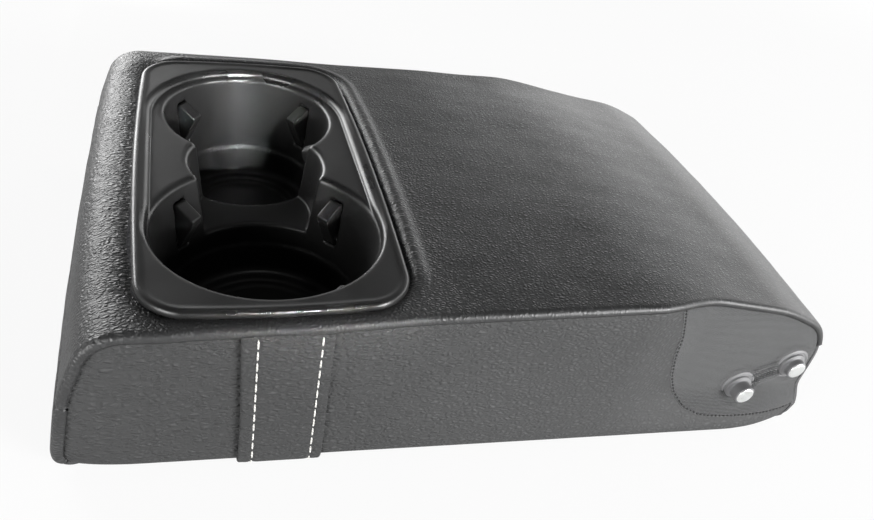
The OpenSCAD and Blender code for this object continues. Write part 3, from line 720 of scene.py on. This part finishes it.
def make_top():
    """Leather top, from the rear seam over the tail and nose to the front seam, open under the tray rim."""
    points, faces, skin = cover_panel(S_REAR_SEAM, S_FRONT_SEAM, 1.2, 0.3, 2.0, 0.1,
                                      step=1.3, shape=top_shape)
    p = points.reshape(-1, 3)
    tx, ty, tz = to_tray(p[:, 0], p[:, 1], p[:, 2])
    d = rim_distance(tx, ty)
    d[p[:, 2] < TRAY_TOP] = 50
    faces = faces[d[faces].mean(1) > -2.0]
    e = 0.01
    gx = (rim_distance(tx + e, ty) - d) / e
    gy = (rim_distance(tx, ty + e) - d) / e
    size = np.hypot(gx, gy) + 1e-9
    inner = (d < -1.2) & (d > -6)
    move = np.where(inner, -2.0 - d, np.where(np.abs(d) < 0.7, -d, 0))
    tx, ty = tx + gx / size * move, ty + gy / size * move
    tz = np.where(inner, np.minimum(tz, -2.4), tz)
    p = np.where((move != 0)[:, None], from_tray(np.stack([tx, ty, tz], -1)), p)
    used = np.unique(faces)
    number = np.full(len(p), -1)
    number[used] = np.arange(len(used))
    made = piece("leather_top", p[used], number[faces], LEATHER, stands_for=["cover_top"],
                 skin=skin.reshape(-1, 2)[used])
    thicken(made, 1.6)


make_top()


def front_shape(x, y, z, d_side):
    """Slow swells, and no fullness where the panel reaches the ground."""
    slow = 0.22 * ripple(y, z, 47) + 0.12 * ripple(y, z, 21, 1.0)
    return slow * smoothstep(d_side, 2, 10) * smoothstep(z, 2, 12) - smoothstep(-z, -7, -1)


def make_front_lower():
    """Leather panel under the front seam."""
    end = S_FRONT_FOOT + (LENGTH if S_FRONT_FOOT < S_FRONT_SEAM else 0)
    points, faces, skin = cover_panel(S_FRONT_SEAM, end, 1.9, 0.6, 1.2, 0.3, shape=front_shape)
    made = piece("leather_front_lower", points, faces, LEATHER, stands_for=["cover_front_lower"],
                 skin=skin)
    thicken(made, 1.6)


make_front_lower()


def rear_shape(x, y, z, d_side):
    """Slow swells, and no fullness where the cloth reaches the ground."""
    slow = 0.35 * ripple(y, z, 38)
    return slow * smoothstep(d_side, 2, 12) * smoothstep(z, 2, 12) - 0.4 * smoothstep(-z, -7, -1)


def make_rear():
    """Cloth over the rear face, from the ground to the rear seam."""
    points, faces, skin = cover_panel(S_REAR_FOOT, S_REAR_SEAM, 0.9, 0.6, 0.0, step=2.2, shape=rear_shape)
    made = piece("cloth_rear", points, faces, CLOTH, stands_for=["cover_rear"], skin=skin)
    thicken(made, 1.2)


make_rear()


def make_bottom():
    """Panel under the armrest, flat where it rests."""
    start = S_FRONT_FOOT - (LENGTH if S_FRONT_FOOT > S_REAR_FOOT else 0)
    points, faces, skin = cover_panel(start, S_REAR_FOOT, 0.4, 0.4, 0.0, step=3.0)
    made = piece("leather_bottom", points, faces, SIDE_LEATHER, stands_for=["cover_bottom"],
                 skin=skin)
    thicken(made, 1.4)


make_bottom()


# Side panels

def side_point(x, q, h, side):
    """Point of a side: q is the way up it, round an 8 mm roll and then straight, and h the height over it."""
    turn = np.clip(q / ROLL, 0, math.pi / 2)
    z = ROLL - ROLL * np.cos(turn) + np.maximum(q - ROLL * math.pi / 2, 0)
    out = half_width(x, z) - ROLL + (ROLL + h) * np.sin(turn)
    return pulled(np.stack([x, side * out, z - h * np.cos(turn)], -1))


def along_side(s0, s1, n=600):
    """Stretch of the side outline as (x, way up the side)."""
    x, z, _, _ = at(np.linspace(s0, s1, n))
    return np.stack([x, up_side(np.clip(z, 0, None))], -1)


def between(curve, t):
    """Points of a curve at shares t of its length."""
    run = run_along(curve)
    return np.stack([np.interp(t, run / run[-1], curve[:, k]) for k in range(2)], -1)


def inside_curves(bottom, right, top, left, u, v):
    """Grid inside four curves that meet at their ends: each point blends the curves, less the corners."""
    b, t, r, l = between(bottom, u), between(top, u), between(right, v), between(left, v)
    uu, vv = u[None, :, None], v[:, None, None]
    flat = (1 - vv) * b[None] + vv * t[None] + (1 - uu) * l[:, None] + uu * r[:, None]
    corners = (1 - vv) * ((1 - uu) * b[0] + uu * b[-1]) + vv * ((1 - uu) * t[0] + uu * t[-1])
    return flat - corners


S_FOOT_F = station(-168.5, 0)
S_FOOT_R = station(169.5, 0)
S_TAIL = station(160.5, 62.5)
S_NOSE = station(-163.5, 67.5)


def make_side(side, name, node):
    """Flat leather side: sunk at its seams, just full inside them, sewn in all round."""
    wide, high = 340.0, 88.0
    u, v = rows_over(wide, 1.9) / wide, rows_over(high, 1.9) / high
    foot_r = S_FOOT_R if S_FOOT_R > S_FOOT_F else S_FOOT_R + LENGTH
    foot_f = S_FOOT_F + (LENGTH if S_FOOT_F < S_NOSE else 0)
    grid = inside_curves(along_side(S_FOOT_F, foot_r), along_side(S_FOOT_R, S_TAIL),
                         along_side(S_TAIL, S_NOSE)[::-1], along_side(S_NOSE, foot_f)[::-1], u, v)
    x, q = grid[..., 0], grid[..., 1]
    d = np.minimum(np.minimum(u, 1 - u)[None, :] * wide, np.minimum(v, 1 - v)[:, None] * high)
    h = -1.0 + 1.4 * (1 - np.exp(-d / 2.2)) + 0.12 * ripple(x, q, 52, side) * smoothstep(d, 3, 20)
    h = h - 1.4 * tucked(*x.shape) - 0.4 * smoothstep(-q, -6, 0)
    points = side_point(x, q, h, side)
    made = piece(name, points, quads(*x.shape, flip=side > 0), SIDE_LEATHER, stands_for=[node],
                 skin=grid)
    thicken(made, 1.5)


make_side(-1, "leather_side_near", "cover_side_near")
make_side(1, "leather_side_far", "cover_side_far")

PIVOT = (156.1, 43.4)
STOP = (129.2, 29.5)
# The cloth patch's front and lower edge in the side view, down from the top seam and back to the rear one
PATCH_EDGE = np.array([(67.0, 83.4), (72.4, 72.9), (77.0, 63.4), (79.8, 50.2), (84.9, 36.3), (91.4, 25.6),
                       (99.2, 18.0), (108.4, 14.2), (115.5, 12.9), (123.7, 12.3), (143.3, 11.9),
                       (156.0, 11.7), (168.3, 12.3), (177.6, 14.4)])
PATCH_FOOT = 7
PATCH_STEP = 0.4
# Folds between the pins: distance off the line between them, height, width
FOLDS = ((5.4, 0.9, 1.0), (2.7, 1.6, 0.9), (0.4, -0.9, 0.8), (-1.9, 1.6, 1.0), (-4.8, 0.9, 1.1))


def patch_curve(a, b):
    """Smooth stretch of the cloth patch's front and lower edge, as (x, way up the side)."""
    m = 12
    p = even(PATCH_EDGE[a:b], PATCH_STEP)
    p = averaged(np.concatenate([np.repeat(p[:1], m, 0), p, np.repeat(p[-1:], m, 0)]), np.hanning(2 * m + 1))
    p[0], p[-1] = PATCH_EDGE[a], PATCH_EDGE[b - 1]
    return even(np.stack([p[:, 0], up_side(p[:, 1])], -1), PATCH_STEP)


def patch_height(x, q):
    """Cloth drawn into folds between the two pins and dished round them."""
    z = q + ROLL - ROLL * math.pi / 2
    p, s = np.array(PIVOT), np.array(STOP)
    line = p - s
    span = np.linalg.norm(line)
    t = ((x - s[0]) * line[0] + (z - s[1]) * line[1]) / span
    off = (-(x - s[0]) * line[1] + (z - s[1]) * line[0]) / span
    between_pins = smoothstep(t, 5, 10) * smoothstep(-t, -span + 5, -span + 10)
    bend = 0.8 * np.sin(math.pi * t / span)
    folds = sum(high * bell(off - place - bend, wide) for place, high, wide in FOLDS)
    rings = sum(0.45 * bell(np.hypot(x - c[0], z - c[1]) - 11.0, 1.7) for c in (PIVOT, STOP))
    return folds * between_pins + rings + 0.12 * ripple(x, z, 33)


def make_patch(side, name, node):
    """Cloth patch sewn over the side round the pins, its edge rolled under."""
    wide, high = 92.0, 66.0
    u, v = rows_over(wide, 0.9) / wide, rows_over(high, 0.9) / high
    left = patch_curve(0, PATCH_FOOT + 1)[::-1]
    bottom = patch_curve(PATCH_FOOT, len(PATCH_EDGE))
    right = along_side(station(*PATCH_EDGE[-1]), S_TAIL)
    top = along_side(S_TAIL, station(*PATCH_EDGE[0]))[::-1]
    left[-1], left[0], bottom[-1] = top[0], bottom[0], right[0]
    grid = inside_curves(bottom, right, top, left, u, v)
    x, q = grid[..., 0], grid[..., 1]
    sewn = np.minimum((1 - v)[:, None] * high, (1 - u)[None, :] * wide)
    loose = np.minimum(u[None, :] * wide, v[:, None] * high)
    h = -0.1 + round_over(loose, 0.9) - 0.22 * bell(loose - 1.3, 0.6) - 0.9 * np.exp(-sewn / 1.5)
    h = h + patch_height(x, q) * smoothstep(np.minimum(sewn, loose), 2, 8)
    h = h - 0.9 * tucked(*x.shape)
    points = side_point(x, q, h, side)
    made = piece(name, points, quads(*x.shape, flip=side > 0), CLOTH, stands_for=[node],
                 skin=grid)
    thicken(made, 0.9)


make_patch(-1, "cloth_patch_sewn_near", "cloth_patch_near")
make_patch(1, "cloth_patch_sewn_far", "cloth_patch_far")


# Stitches

def stitches(centres, ways, outs, length, radius, sag):
    """Stitches as bent capsules: each lies along its way, stands a radius out, and dips at both ends."""
    rings, around = 7, 8
    t = np.linspace(-1, 1, rings)
    r = radius * np.sqrt(np.clip(1 - np.abs(t) ** 4, 0.02, 1))
    a = np.arange(around) * 2 * math.pi / around
    base = np.stack([np.repeat(t * length / 2, around), np.outer(r, np.cos(a)).ravel(),
                     np.outer(r, np.sin(a)).ravel() - np.repeat(sag * np.abs(t) ** 3 * 2, around)], -1)
    tip = length / 2 + radius * 0.2
    base = np.concatenate([base, [[-tip, 0, -2 * sag], [tip, 0, -2 * sag]]])
    ways, outs = unit(ways), unit(outs)
    across = np.cross(outs, ways)
    points = (centres[:, None] + base[None, :, :1] * ways[:, None] + base[None, :, 1:2] * across[:, None]
              + base[None, :, 2:] * outs[:, None])
    n = rings * around
    k, after = np.arange(around), (np.arange(around) + 1) % around
    caps = list(np.stack([n + 0 * k, after, k], -1))
    caps += list(np.stack([n + 1 + 0 * k, n - around + k, n - around + after], -1))
    one = list(quads(rings, around, ring=True)) + caps
    faces = [f + i * len(base) for i in range(len(centres)) for f in one]
    return points.reshape(-1, 3), faces


def patch_stitches(side, name):
    """Fine dark thread close along the patch's front and lower edge."""
    front, lower = patch_curve(0, PATCH_FOOT + 1), patch_curve(PATCH_FOOT, len(PATCH_EDGE))
    line = even(np.concatenate([front, lower[1:]]), 0.5)
    way = unit(np.gradient(line, axis=0))
    seat = line + 0.8 * np.stack([-way[:, 1], way[:, 0]], -1)
    pick = np.arange(4, len(line) - 8, 5)
    c, w = seat[pick], way[pick] * 0.1
    p0 = side_point(c[:, 0], c[:, 1], 0.75, side)
    p1 = side_point(c[:, 0] + w[:, 0], c[:, 1] + w[:, 1], 0.75, side)
    out = side_point(c[:, 0], c[:, 1], 1.75, side) - p0
    points, faces = stitches(p0, p1 - p0, out, 1.6, 0.5, 0.1)
    piece(name, points, faces, DARK_THREAD)


patch_stitches(-1, "patch_stitches_near")
patch_stitches(1, "patch_stitches_far")


# Pull strap

STRAP_LOW, STRAP_HIGH, STRAP_W = -98.15, -103.5, 33.7
STRAP_T, STRAP_ROUND = 2.1, 1.2
STITCH_ROWS = ((-11.3, 2.8), (12.1, 3.5))
STITCH_PITCH, STITCH_LENGTH, STITCH_R, PUCKER = 5.5, 4.9, 0.36, 3.4


def strap_centre(q):
    """X of the strap's middle at a way up the side: it leans with the tray."""
    return STRAP_LOW + (STRAP_HIGH - STRAP_LOW) * (q - 4.6) / 76.0


def strap_lift(q, across):
    """How far the strap stands off at a way up the side: its front edge lifts and both ends dive."""
    lifted = 0.75 * smoothstep(-across, -6, 16) * smoothstep(q, 4, 16)
    return 0.5 * lifted - 1.2 * smoothstep(-q, -10, -0.5) - 0.9 * smoothstep(q, 72, 80)


def top_way(x):
    """Way up the side to the top seam at x."""
    s = np.linspace(S_TAIL, S_NOSE, 3000)
    sx, sz, _, _ = at(s)
    return up_side(np.interp(-x, -sx, sz))


def make_strap():
    """Folded leather strap from under the top's lip down the side and round its foot.

    Its section is a flat loop with round edges; two rows of stitches press into its face."""
    q = np.concatenate([np.linspace(0.5, 12, 14), np.linspace(13, 73, 52), np.linspace(73.8, 78.5, 8)])
    half_t, straight = STRAP_T / 2, STRAP_W / 2 - STRAP_ROUND
    flat = np.linspace(-straight, straight, 44)
    turn = np.linspace(-math.pi / 2, math.pi / 2, 9)[1:-1]
    rounded = straight + STRAP_ROUND * np.cos(turn)
    w = np.concatenate([flat, rounded, flat[::-1], -rounded])
    h = half_t * np.concatenate([1 + 0 * flat, np.sin(turn[::-1]), -1 + 0 * flat, np.sin(turn)])
    sewn = 0.35 * sum(bell(w - place, 1.1) for place, _ in STITCH_ROWS)
    edges = 0.12 * bell(np.abs(w) - 15.2, 1.2)
    qq = q[:, None]
    x = strap_centre(qq) + w * (1 + 0.004 * np.sin(qq / 9)) + 0.25 * np.sin(qq / 17)
    dips = np.where(h > 0.9, sewn * (0.12 * np.sin(2 * math.pi * qq / PUCKER) - 1) - edges, 0)
    out = 1.35 + 0.1 * np.sin(qq / 11 + w / 14) + strap_lift(qq, w) + dips
    out = out + h * (1 - 0.35 * smoothstep(-qq, -8, -0.5))
    q_at = np.minimum(np.broadcast_to(qq, x.shape), top_way(x) - 0.3)
    points = side_point(x, q_at, out, -1)
    n, m = x.shape
    faces = list(quads(n, m, ring=True)) + [np.arange(m)[::-1], np.arange(m) + (n - 1) * m]
    made = piece("leather_strap", points, faces, STRAP_LEATHER, stands_for=["pull_strap"],
                 skin=np.stack([x, np.broadcast_to(qq, x.shape)], -1))
    parts = []
    for place, first in STITCH_ROWS:
        q = np.arange(first, 76.0, STITCH_PITCH)
        stray = place + 0.12 * np.sin(q * 2.3)
        height = 2.28 + strap_lift(q, place)
        cx = strap_centre(q) + stray
        p0 = side_point(cx, q, height, -1)
        p1 = side_point(strap_centre(q + 1) + stray, q + 1, height, -1)
        out = side_point(cx, q, height + 1, -1) - p0
        parts.append(stitches(p0, p1 - p0, out, STITCH_LENGTH, STITCH_R, 0.2))
    points, faces = joined(parts)
    piece("strap_stitches", points, faces, PALE_THREAD)


make_strap()


# Cup tray

def slot_frames():
    """Place and outward direction of each finger's hinge, in the tray's frame."""
    frames = []
    for y, mouth, angles in CUPS:
        r = mouth - TAN_DRAFT * (FINGER_DEPTH - SHELF) + FINGER_BACK
        for a in angles:
            c, s = math.cos(math.radians(a)), math.sin(math.radians(a))
            frames.append((r * c, y + r * s, c, s))
    return frames


SLOTS = slot_frames()


def boxes(x, y, z, out0, out1, half, low, high):
    """Distance to a box at each finger: along its outward direction, across it and up from its hinge."""
    best = np.full(x.shape, 1e3)
    for hx, hy, c, s in SLOTS:
        o = (x - hx) * c + (y - hy) * s
        a = -(x - hx) * s + (y - hy) * c
        h = z + FINGER_DEPTH
        q = np.stack([np.abs(o - (out0 + out1) / 2) - (out1 - out0) / 2, np.abs(a) - half,
                      np.abs(h - (low + high) / 2) - (high - low) / 2])
        d = np.linalg.norm(np.maximum(q, 0), axis=0) + np.minimum(q.max(0), 0)
        best = np.minimum(best, d)
    return best


def cup_hollow(x, y, z, at_y, mouth, depth, step, fillet, ring=0.0):
    """Distance to a drafted round hollow with a step in its wall, a rounded foot and a ring on its floor."""
    r = np.hypot(x, y - at_y)
    wall = mouth - TAN_DRAFT * (-z - SHELF)
    if step:
        wall = wall - 0.8 * smoothstep(-z, step - 0.3, step + 0.3)
    ridges = sum(smoothstep(r, mouth - inside, mouth - inside + 1) for inside in (17.2, 13.0))
    return soft_max(r - wall, ring * ridges - depth - z, fillet)


def hollow(x, y, z):
    """Distance to the space inside the tray: sloped recess, two cups, and the passage between them."""
    along = np.clip(y, LARGE_Y, RECESS_Y)
    reach = np.hypot(x, y - along)
    slope = LARGE_R + (RECESS_R - LARGE_R) * np.clip((z + SHELF) / (SHELF - 0.6), 0, 1) ** 2
    recess = soft_max((reach - slope) * 0.8, -SHELF - z, 0.5)
    cups = [cup_hollow(x, y, z, cup_y, mouth, CUP_D, STEP_D, 3.5, 0.45) for cup_y, mouth, _ in CUPS]
    bridge = cup_hollow(x, y, z, BRIDGE_Y, BRIDGE_R, BRIDGE_D, 0, 1.6)
    return recess, soft_min(soft_min(*cups, 1.2), bridge, 1.6)


def tray_distance(p):
    """Distance outside the moulded tray."""
    x, y, z = p[..., 0], p[..., 1], p[..., 2]
    rim = rim_distance(x, y)
    top = z + RIM_DROP * smoothstep(-rim, 2.3, 4.2)
    flange = np.maximum(corner(rim + RIM_ROUND, top + RIM_ROUND) - RIM_ROUND, -RIM_T - z)
    recess, cups = hollow(x, y, z)
    inside = soft_min(recess, cups, 3.2)
    shell = np.maximum(np.minimum(recess, cups) - TRAY_T, z + 1.5)
    house = boxes(x, y, z, -FINGER_BACK, HOUSE - FINGER_BACK, SLOT / 2 + 1.5, -4, FINGER_H + 3.5)
    body = np.minimum(np.minimum(flange, shell), house)
    room = boxes(x, y, z, -FINGER_BACK - 4, HOUSE - FINGER_BACK - 1.5, FINGER_W / 2 + 0.5, -3, FINGER_H + 0.7)
    space = np.minimum(inside, room)
    return soft_max(body, -space, 0.7)


def surface_of(distance, xs, ys, zs):
    """Closed surface of a distance on a grid: one point in every cell that it crosses, at the mean
    of the cell's crossed edges, one face round every crossed edge, then each point moved onto the surface."""
    shape = (len(xs), len(ys), len(zs))
    f = np.empty(shape)
    gy, gz = np.meshgrid(ys, zs, indexing="ij")
    for i, xv in enumerate(xs):
        f[i] = distance(np.stack([np.full(gy.shape, xv), gy, gz], -1))
    cells = tuple(n - 1 for n in shape)
    total = np.zeros(cells[0] * cells[1] * cells[2])
    sums = np.zeros((3, total.size))
    axes, found = (xs, ys, zs), []
    for axis in range(3):
        a = np.take(f, np.arange(shape[axis] - 1), axis)
        b = np.take(f, np.arange(1, shape[axis]), axis)
        idx = np.array(np.nonzero((a < 0) != (b < 0)))
        va, vb = a[tuple(idx)], b[tuple(idx)]
        t = va / (va - vb)
        place = np.array([axes[k][idx[k]] for k in range(3)])
        nxt = axes[axis][idx[axis] + 1]
        place[axis] = place[axis] + t * (nxt - place[axis])
        o1, o2 = (k for k in range(3) if k != axis)
        around = []
        for back in ((1, 1), (0, 1), (0, 0), (1, 0)):
            c = idx.copy()
            c[[o1, o2]] -= np.array(back)[:, None]
            flat = (c[0] * cells[1] + c[1]) * cells[2] + c[2]
            around.append(flat)
            total += np.bincount(flat, minlength=total.size)
            for k in range(3):
                sums[k] += np.bincount(flat, weights=place[k], minlength=total.size)
        ring = np.stack(around, -1)
        flip = (va < 0) if axis != 1 else (va >= 0)
        ring[~flip] = ring[~flip][:, ::-1]
        found.append(ring)
    used = np.nonzero(total)[0]
    number = np.full(total.size, -1)
    number[used] = np.arange(len(used))
    points = (sums[:, used] / total[used]).T
    faces = number[np.concatenate(found)]
    e = 0.05
    for _ in range(3):
        g = np.stack([distance(points + s) - distance(points - s) for s in e * np.eye(3)], -1) / (2 * e)
        size = (g ** 2).sum(-1) + 1e-6
        move = -(distance(points) / size)[:, None] * g
        length = np.linalg.norm(move, axis=1)[:, None] + 1e-9
        points = points + move * np.minimum(1, 0.5 / length)
    return points, faces


def make_tray():
    """Moulded cup tray, from a grid that is finer near its top."""
    half_x, half_y, step = ((56.1, 109.9, 1.02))
    xs, ys = (np.arange(-half, half + 0.1, step) for half in (half_x, half_y))
    zs = np.concatenate([np.arange(-66.0, -7.0, 1.5), np.arange(-6.6, 1.6, 0.55)])
    points, faces = surface_of(tray_distance, xs, ys, zs)
    piece("moulded_tray", from_tray(points), faces, TRAY_PLASTIC, stands_for=["cup_tray"])


make_tray()


def make_fingers():
    """Grip fingers: a ramped tab with rounded edges, at its own hinge."""
    reach = FINGER_BACK + FINGER_REACH
    side = arcs([[-2.4, -2.2, 1.6], [2.2, -2.2, 1.6], [2.2, FINGER_H * 0.5, 4], [0.6, FINGER_H - 0.4, 1.0],
                 [-FINGER_BACK + 0.3, FINGER_H, 1.0], [-reach - 0.2, FINGER_H * 0.76, 1.1],
                 [-reach + 0.4, FINGER_H * 0.60, 1.5]], step=0.4)[:-1]
    way = unit(np.roll(side, -1, 0) - np.roll(side, 1, 0))
    out = np.stack([way[:, 1], -way[:, 0]], -1)
    rounding = [(0, 0.55), (0.12, 0.25), (0.4, 0.06), (0.7, 0)]
    layers = [(inside - FINGER_W / 2, inset) for inside, inset in rounding]
    layers += [(-across, inset) for across, inset in layers[::-1]]
    n, last = np.arange(len(side)), (len(layers) - 1) * len(side)
    faces = list(quads(len(layers), len(side), ring=True, flip=True)) + [n, (n + last)[::-1]]
    for k, (hx, hy, c, s) in enumerate(SLOTS, 1):
        rings = []
        for across, inset in layers:
            o, z = (side - out * inset).T
            rings.append(np.stack([hx + o * c - across * s, hy + o * s + across * c, z - FINGER_DEPTH], -1))
        piece("finger_tab_%d" % k, from_tray(np.array(rings)), faces, FINGER_PLASTIC, body="finger_%d" % k,
              stands_for=["grip_finger_%d" % k])


make_fingers()


# Pins

AXIS = 0.01
# Corners of the sleeve and the pin: radius, distance out from the side or from the tip, rounding
SLEEVE_BASE = ((AXIS, -3, 0), (9.6, -3, 0.3), (9.6, 1.0, 0.8), (8.1, 1.6, 0.5), (7.9, 1.1, 0.3),
               (7.3, 1.1, 0.3), (7.1, 2.3, 0.5), (6.0, 2.6, 0.5), (5.25, 3.0, 0.8))
SLEEVE_TIP = ((5.25, -0.7, 0.4), (4.85, -0.35, 0.2), (AXIS, -0.35, 0))
PIN_TIP = ((AXIS, -3, 0), (4.6, -3, 0.2), (4.6, -0.35, 0.3), (4.0, 0.05, 0.4), (2.6, 0.15, 0.5))
PINS = (("pivot", PIVOT, 109.6, 0.15), ("stop", STOP, 112.6, 0.0))


def turned_part(corners, place, side, steps=48):
    """Round part along Y: rounded corners (radius, distance out, rounding) carried round its axis."""
    p = arcs(corners, closed=False, step=0.25)
    a = np.arange(steps) * 2 * math.pi / steps
    r, y = p[:, :1], side * p[:, 1:]
    points = np.stack([place[0] + r * np.cos(a), y + 0 * a, place[1] + r * np.sin(a)], -1)
    return points, quads(len(p), steps, ring=True, flip=side > 0)


def moved_out(corners, far):
    """Profile corners set off from a distance out."""
    return [(r, y + far, rounding) for r, y, rounding in corners]


def peened(points, place, tip, side):
    """The stop pin's end with three shallow marks."""
    dx, dz = points[..., 0] - place[0], points[..., 2] - place[1]
    marks = 0.35 * bell(np.hypot(dx, dz) - 2.6, 1.2) * np.clip(np.cos(3 * np.arctan2(dz, dx)), 0, 1)
    marks = np.where(np.abs(points[..., 1]) > tip - 0.5, marks, 0)
    return points - np.stack([0 * marks, side * marks, 0 * marks], -1)


def make_pins():
    """Collared plastic sleeves over steel pins, the same on both sides."""
    for side, tag in ((-1, "near"), (1, "far")):
        for name, place, tip, middle in PINS:
            sleeve = moved_out(SLEEVE_BASE, float(half_width(*place))) + moved_out(SLEEVE_TIP, tip)
            points, faces = turned_part(sleeve, place, side)
            piece("%s_sleeve_ringed_%s" % (name, tag), points, faces, SLEEVE_PLASTIC,
                  stands_for=["%s_sleeve_%s" % (name, tag)])
            points, faces = turned_part(moved_out(PIN_TIP + ((AXIS, middle, 0),), tip), place, side)
            if name == "stop":
                points = peened(points, place, tip, side)
            piece("%s_pin_turned_%s" % (name, tag), points, faces, STEEL,
                  stands_for=["%s_pin_%s" % (name, tag)])


make_pins()


# Finishes of the solids

# The first row that fits the start of a node's name gives its material
FINISHES = ((FOAM, ("foam_",)), (CARCASS_PLASTIC, ("carcass",)), (TRAY_PLASTIC, ("cup_tray",)),
            (FRAME_STEEL, ("tray_screws", "finger_pins", "finger_springs", "bracket_", "cross_tube")),
            (STEEL, ("pivot_pin", "stop_pin")), (SLEEVE_PLASTIC, ("pivot_sleeve", "stop_sleeve")),
            (FINGER_PLASTIC, ("grip_finger",)), (PLAIN_CLOTH, ("cloth_patch", "cover_rear")),
            (PLAIN_LEATHER, ("pull_strap", "cover_")))
for node_name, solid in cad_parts.items():
    finish = next(material for material, starts in FINISHES if node_name.startswith(starts))
    for socket in solid.material_slots:
        socket.material = finish


# Stage and light

HORIZON = (0.33, 0.46)
CEILING = 0.02
AMBIENT = 0.14
FLOOR_HALF = 6.0


def floor_material():
    """Pale floor that camera rays meet as nearly white."""
    material, tree, shader, _ = new_material("pale_floor")
    shader["Base Color"].default_value = (0.86, 0.86, 0.86, 1)
    shader["Roughness"].default_value = 0.9
    shader["Specular IOR Level"].default_value = 0.1
    seen = tree.nodes.new("ShaderNodeLightPath").outputs["Is Camera Ray"]
    white = tree.nodes.new("ShaderNodeEmission")
    white.inputs["Color"].default_value = (1, 1, 1, 1)
    mix = tree.nodes.new("ShaderNodeMixShader")
    grey = tree.nodes["Principled BSDF"].outputs[0]
    for socket, value in zip(mix.inputs, (times(tree, seen, 0.88), grey, white.outputs[0])):
        tree.links.new(value, socket)
    tree.links.new(mix.outputs[0], tree.nodes["Material Output"].inputs["Surface"])
    return material


def make_floor():
    """Plain square floor."""
    mesh = bpy.data.meshes.new("floor")
    corners = [(FLOOR_HALF * x, FLOOR_HALF * y, 0) for x, y in ((-1, -1), (1, -1), (1, 1), (-1, 1))]
    mesh.from_pydata(corners, [], [(0, 1, 2, 3)])
    mesh.materials.append(floor_material())
    floor = bpy.data.objects.new("floor", mesh)
    bpy.context.scene.collection.objects.link(floor)


def make_world():
    """Dim even light; glosses see a bright horizon under a dark ceiling, and the camera sees plain white."""
    world = bpy.data.worlds.new("studio")
    world.use_nodes = True
    tree = world.node_tree
    path = tree.nodes.new("ShaderNodeLightPath").outputs
    sky = axes_of(tree, tree.nodes.new("ShaderNodeTexCoord").outputs["Generated"])
    room = map_range(tree, sky["Z"], *HORIZON, 1.0, CEILING)
    lit = math_node(tree, "MAXIMUM", path["Is Glossy Ray"], path["Is Transmission Ray"])
    level = map_range(tree, lit, 0.0, 1.0, AMBIENT, room, smooth=False)
    level = map_range(tree, path["Is Camera Ray"], 0.0, 1.0, level, 1.0, smooth=False)
    background = tree.nodes["Background"]
    background.inputs["Color"].default_value = (1, 1, 1, 1)
    tree.links.new(level, background.inputs["Strength"])
    bpy.context.scene.world = world


def lamp(name, place, aim, size, power, size_y=None, spread=180):
    """Rectangular soft lamp aimed at a point, its light kept within a spread in degrees."""
    data = bpy.data.lights.new(name, "AREA")
    data.shape = "RECTANGLE"
    data.size = size
    data.size_y = size_y or size
    data.energy = power
    data.spread = math.radians(spread)
    made = bpy.data.objects.new(name, data)
    bpy.context.scene.collection.objects.link(made)
    made.location = place
    made.visible_camera = False
    made.rotation_euler = (Vector(aim) - Vector(place)).to_track_quat("-Z", "Y").to_euler()


make_floor()
make_world()
lamp("key_near", (0.95, -1.15, 0.38), (0, 0, 0.04), 0.7, 38)
lamp("fill_front", (-1.1, -0.9, 0.3), (-0.15, 0, 0.04), 0.7, 19)
lamp("panel_rear", (1.45, 1.0, 0.38), (0.05, 0, 0.06), 2.4, 14.5, 1.0)
lamp("panel_end", (1.7, -0.15, 0.5), (0.12, -0.05, 0.06), 1.0, 4, 0.6)
lamp("strip_far", (-0.68, 1.35, 0.28), (-0.12, 0, 0.07), 0.9, 11.5, 0.5)
lamp("glint_far", (-0.89, 0.84, 0.5), (-0.15, 0, 0.07), 0.4, 3.8)
lamp("spot_cups", (0.0, -0.9, 0.36), (-0.11, 0.085, 0.065), 0.05, 0.065, spread=7)
lamp("above_cups", (-0.1, 0.0, 0.9), (-0.105, 0, 0.05), 0.25, 0.007, spread=12)

bpy.context.scene.view_settings.view_transform = "Standard"
